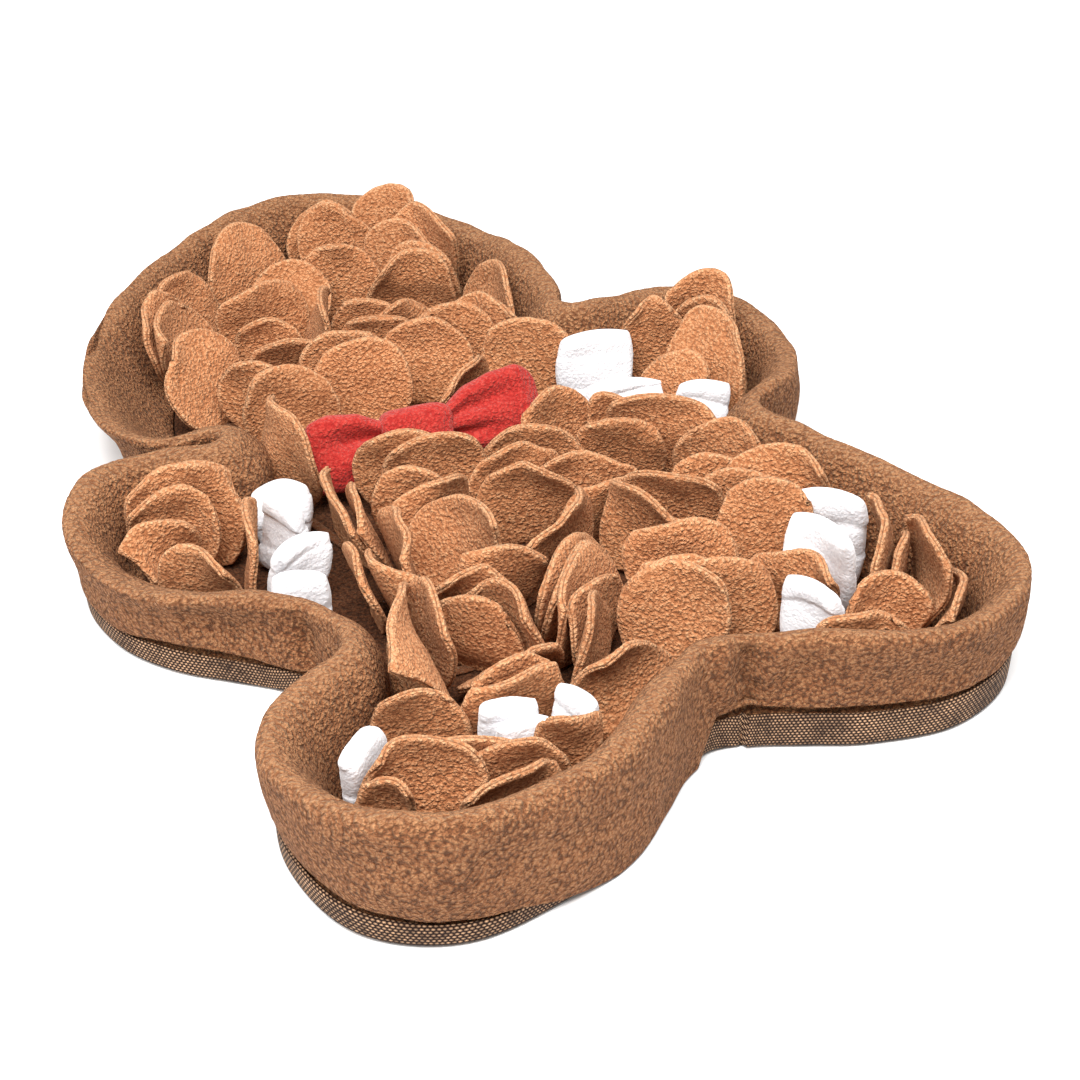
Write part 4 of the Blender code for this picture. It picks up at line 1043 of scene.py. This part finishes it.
def weave(name, dark, light, pitch=0.0017):
    """Coarse weave: rows of raised dots along the band, every second row moved by half a dot.

    A dot's height falls with the distance to its middle; noise makes some dots paler than others."""
    f = Finish(name)
    split = f.add("SeparateXYZ", Vector=f.add("UVMap").outputs[0])
    row = f.maths("DIVIDE", split.outputs["Y"], pitch * 0.85)
    shift = f.scaled(f.maths("MODULO", f.maths("FLOOR", row), 2.0), 0.5)
    column = f.maths("ADD", f.maths("DIVIDE", split.outputs["X"], pitch), shift)
    a, b = (f.maths("SUBTRACT", f.maths("FRACT", value), 0.5) for value in (column, row))
    gap = f.maths("SQRT", f.maths("ADD", f.maths("MULTIPLY", a, a), f.maths("MULTIPLY", b, b)))
    dot = f.scaled(gap, -2.6, 1.15, clamp=True)
    place = f.add("TexCoord").outputs["Object"]
    paler = f.scaled(f.noise(place, 420.0), 1.6, f.maths("SUBTRACT", f.noise(place, 60.0, detail=1.0), 0.65))
    colour = f.blend(f.maths("MULTIPLY", dot, paler, clamp=True), dark, light)
    return f.surface(colour, dot, 0.0006, roughness=0.7)


# the rim colour is a painted highlight at the petals' edges
TAN = fleece("caramel fleece", (0.35, 0.128, 0.050), (0.51, 0.208, 0.088), (0.66, 0.335, 0.165),
             relief=0.0022, sheen_tint=(1.0, 0.7, 0.45), rim=(0.78, 0.46, 0.25), seam=(0.12, 0.038, 0.015))
# painted shade: the wall's fleece is a darker copy of the petals' caramel fleece, for the shade on its
# faces; its rim colour is painted light on the top
WALL_TAN_SHADED = fleece("caramel fleece, wall", (0.115, 0.035, 0.013), (0.328, 0.121, 0.047), (0.60, 0.283, 0.128),
                  nub=0.0017, relief=0.0048, sheen=0.22, sheen_tint=(1.0, 0.68, 0.42),
                  rim=(0.60, 0.30, 0.14), seam=(0.12, 0.038, 0.015))
BROWN = fleece("brown fleece, floor", (0.045, 0.014, 0.006), (0.11, 0.038, 0.016), (0.19, 0.07, 0.03),
               sheen=0.05, sheen_tint=(1.0, 0.6, 0.35))
RED = fleece("red fleece", (0.38, 0.020, 0.016), (0.48, 0.033, 0.025), (0.57, 0.068, 0.050),
             relief=0.0016, sheen=0.3, sheen_tint=(1.0, 0.5, 0.45))
WHITE = fleece("white fleece", (0.88, 0.875, 0.905), (0.94, 0.935, 0.955), (0.97, 0.97, 0.98),
               relief=0.0004, sheen=0.6, rim=(0.97, 0.97, 0.98), seam=(0.13, 0.05, 0.022))
WOVEN = weave("woven base", (0.014, 0.0045, 0.0024), (0.92, 0.55, 0.32))


# ---------------------------------------------------------------- the mat


def shell_pieces():
    """The padded wall, the tray under it and the floor panel inside, which is returned."""
    wall = cloth_piece("padded_wall", [wall_shell()], WALL_TAN_SHADED, "tan_fleece")
    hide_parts("wall")
    base = panel_piece("woven_tray", *base_shell(), WOVEN, "woven_base")
    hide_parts("base_panel")
    floor = panel_piece("fleece_floor", *floor_shell(), BROWN, "brown_fleece")
    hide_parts("floor_panel")
    return floor


def gathered_piece(name, leaves, make, seed, finish):
    """One tuft of petals or set of strips on its sewn roots."""
    roots = [leaf.sewn_at() for leaf in leaves]
    shells = [root_shell(a, b) for a, b in zip(roots, roots[1:])]
    shells += [make(leaf, seed + n) for n, leaf in enumerate(leaves)]
    piece = cloth_piece(name + "_cloth", shells, *finish)
    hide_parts(name)


def inside_pieces(floor):
    """All petals and white strips, settled against one another, tuft by tuft."""
    leaves = [Leaf(name, row, LEAF_T, 0.0) for name, rows in TUFTS.items() for row in rows]
    leaves += [Leaf(name, row, PAD_T, 0.5) for name, rows in PADS.items() for row in rows]
    settle(leaves, smooth(WALL, WALL_STEPS))
    seed = 1
    for table, *way in ((TUFTS, petal_shell, (TAN, "tan_fleece"), DISC_SHARE, "gathered"),
                        (PADS, strip_shell, (WHITE, "white_fleece"), 1.0, "folded")):
        make, finish, cut_share, held = way
        for name in table:
            group = [leaf for leaf in leaves if leaf.group == name]
            gathered_piece(name, group, make, seed, finish)
            seed += len(group)


def bow_piece():
    """The red bow: two loops and the knot."""
    shells = [bow_loop(*loop) for loop in BOW_LOOPS] + [knot_shell()]
    bow = cloth_piece("bow_cloth", shells, RED, "red_fleece")
    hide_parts("bow")


def studio():
    """Pale floor, a broad soft light overhead, a gentle one from the left, and the camera."""
    scene = bpy.context.scene
    mesh = bpy.data.meshes.new("studio_floor")
    corners = ((-1, -1), (1, -1), (1, 1), (-1, 1))
    mesh.from_pydata([(x * STUDIO_HALF, y * STUDIO_HALF, STUDIO_Z) for x, y in corners], [], [(0, 1, 2, 3)])
    ground = bpy.data.objects.new("studio_floor", mesh)
    scene.collection.objects.link(ground)
    paint = Finish("pale floor")
    paint.fill(paint.shader.inputs["Base Color"], (0.93, 0.93, 0.93))
    paint.fill(paint.shader.inputs["Roughness"], 0.9)
    mesh.materials.append(paint.material)
    scene.world = bpy.data.worlds.new("studio")
    scene.world.use_nodes = True
    sky = scene.world.node_tree.nodes["Background"]
    sky.inputs["Color"].default_value = (1.0, 0.99, 0.98, 1)
    sky.inputs["Strength"].default_value = 0.45
    for name, place, size, power in LIGHTS:
        lamp = bpy.data.lights.new(name, "AREA")
        lamp.energy, lamp.size = power, size
        thing = bpy.data.objects.new(name, lamp)
        thing.location = place
        thing.rotation_euler = Vector(place).to_track_quat("Z", "Y").to_euler()
        scene.collection.objects.link(thing)
    turn, high = CAMERA["heading"], CAMERA["height"]
    back = Vector((math.sin(turn) * math.cos(high), -math.cos(turn) * math.cos(high), math.sin(high)))
    lens = bpy.data.cameras.new("camera")
    lens.sensor_width, lens.lens, lens.clip_end = 36.0, CAMERA["lens"], 30.0
    camera = bpy.data.objects.new("camera", lens)
    camera.location = Vector(CAMERA["at"]) + back * CAMERA["distance"]
    camera.rotation_euler = back.to_track_quat("Z", "Y").to_euler()
    scene.collection.objects.link(camera)
    scene.camera = camera
    scene.view_settings.view_transform = "Standard"


inside_pieces(shell_pieces())
bow_piece()
studio()
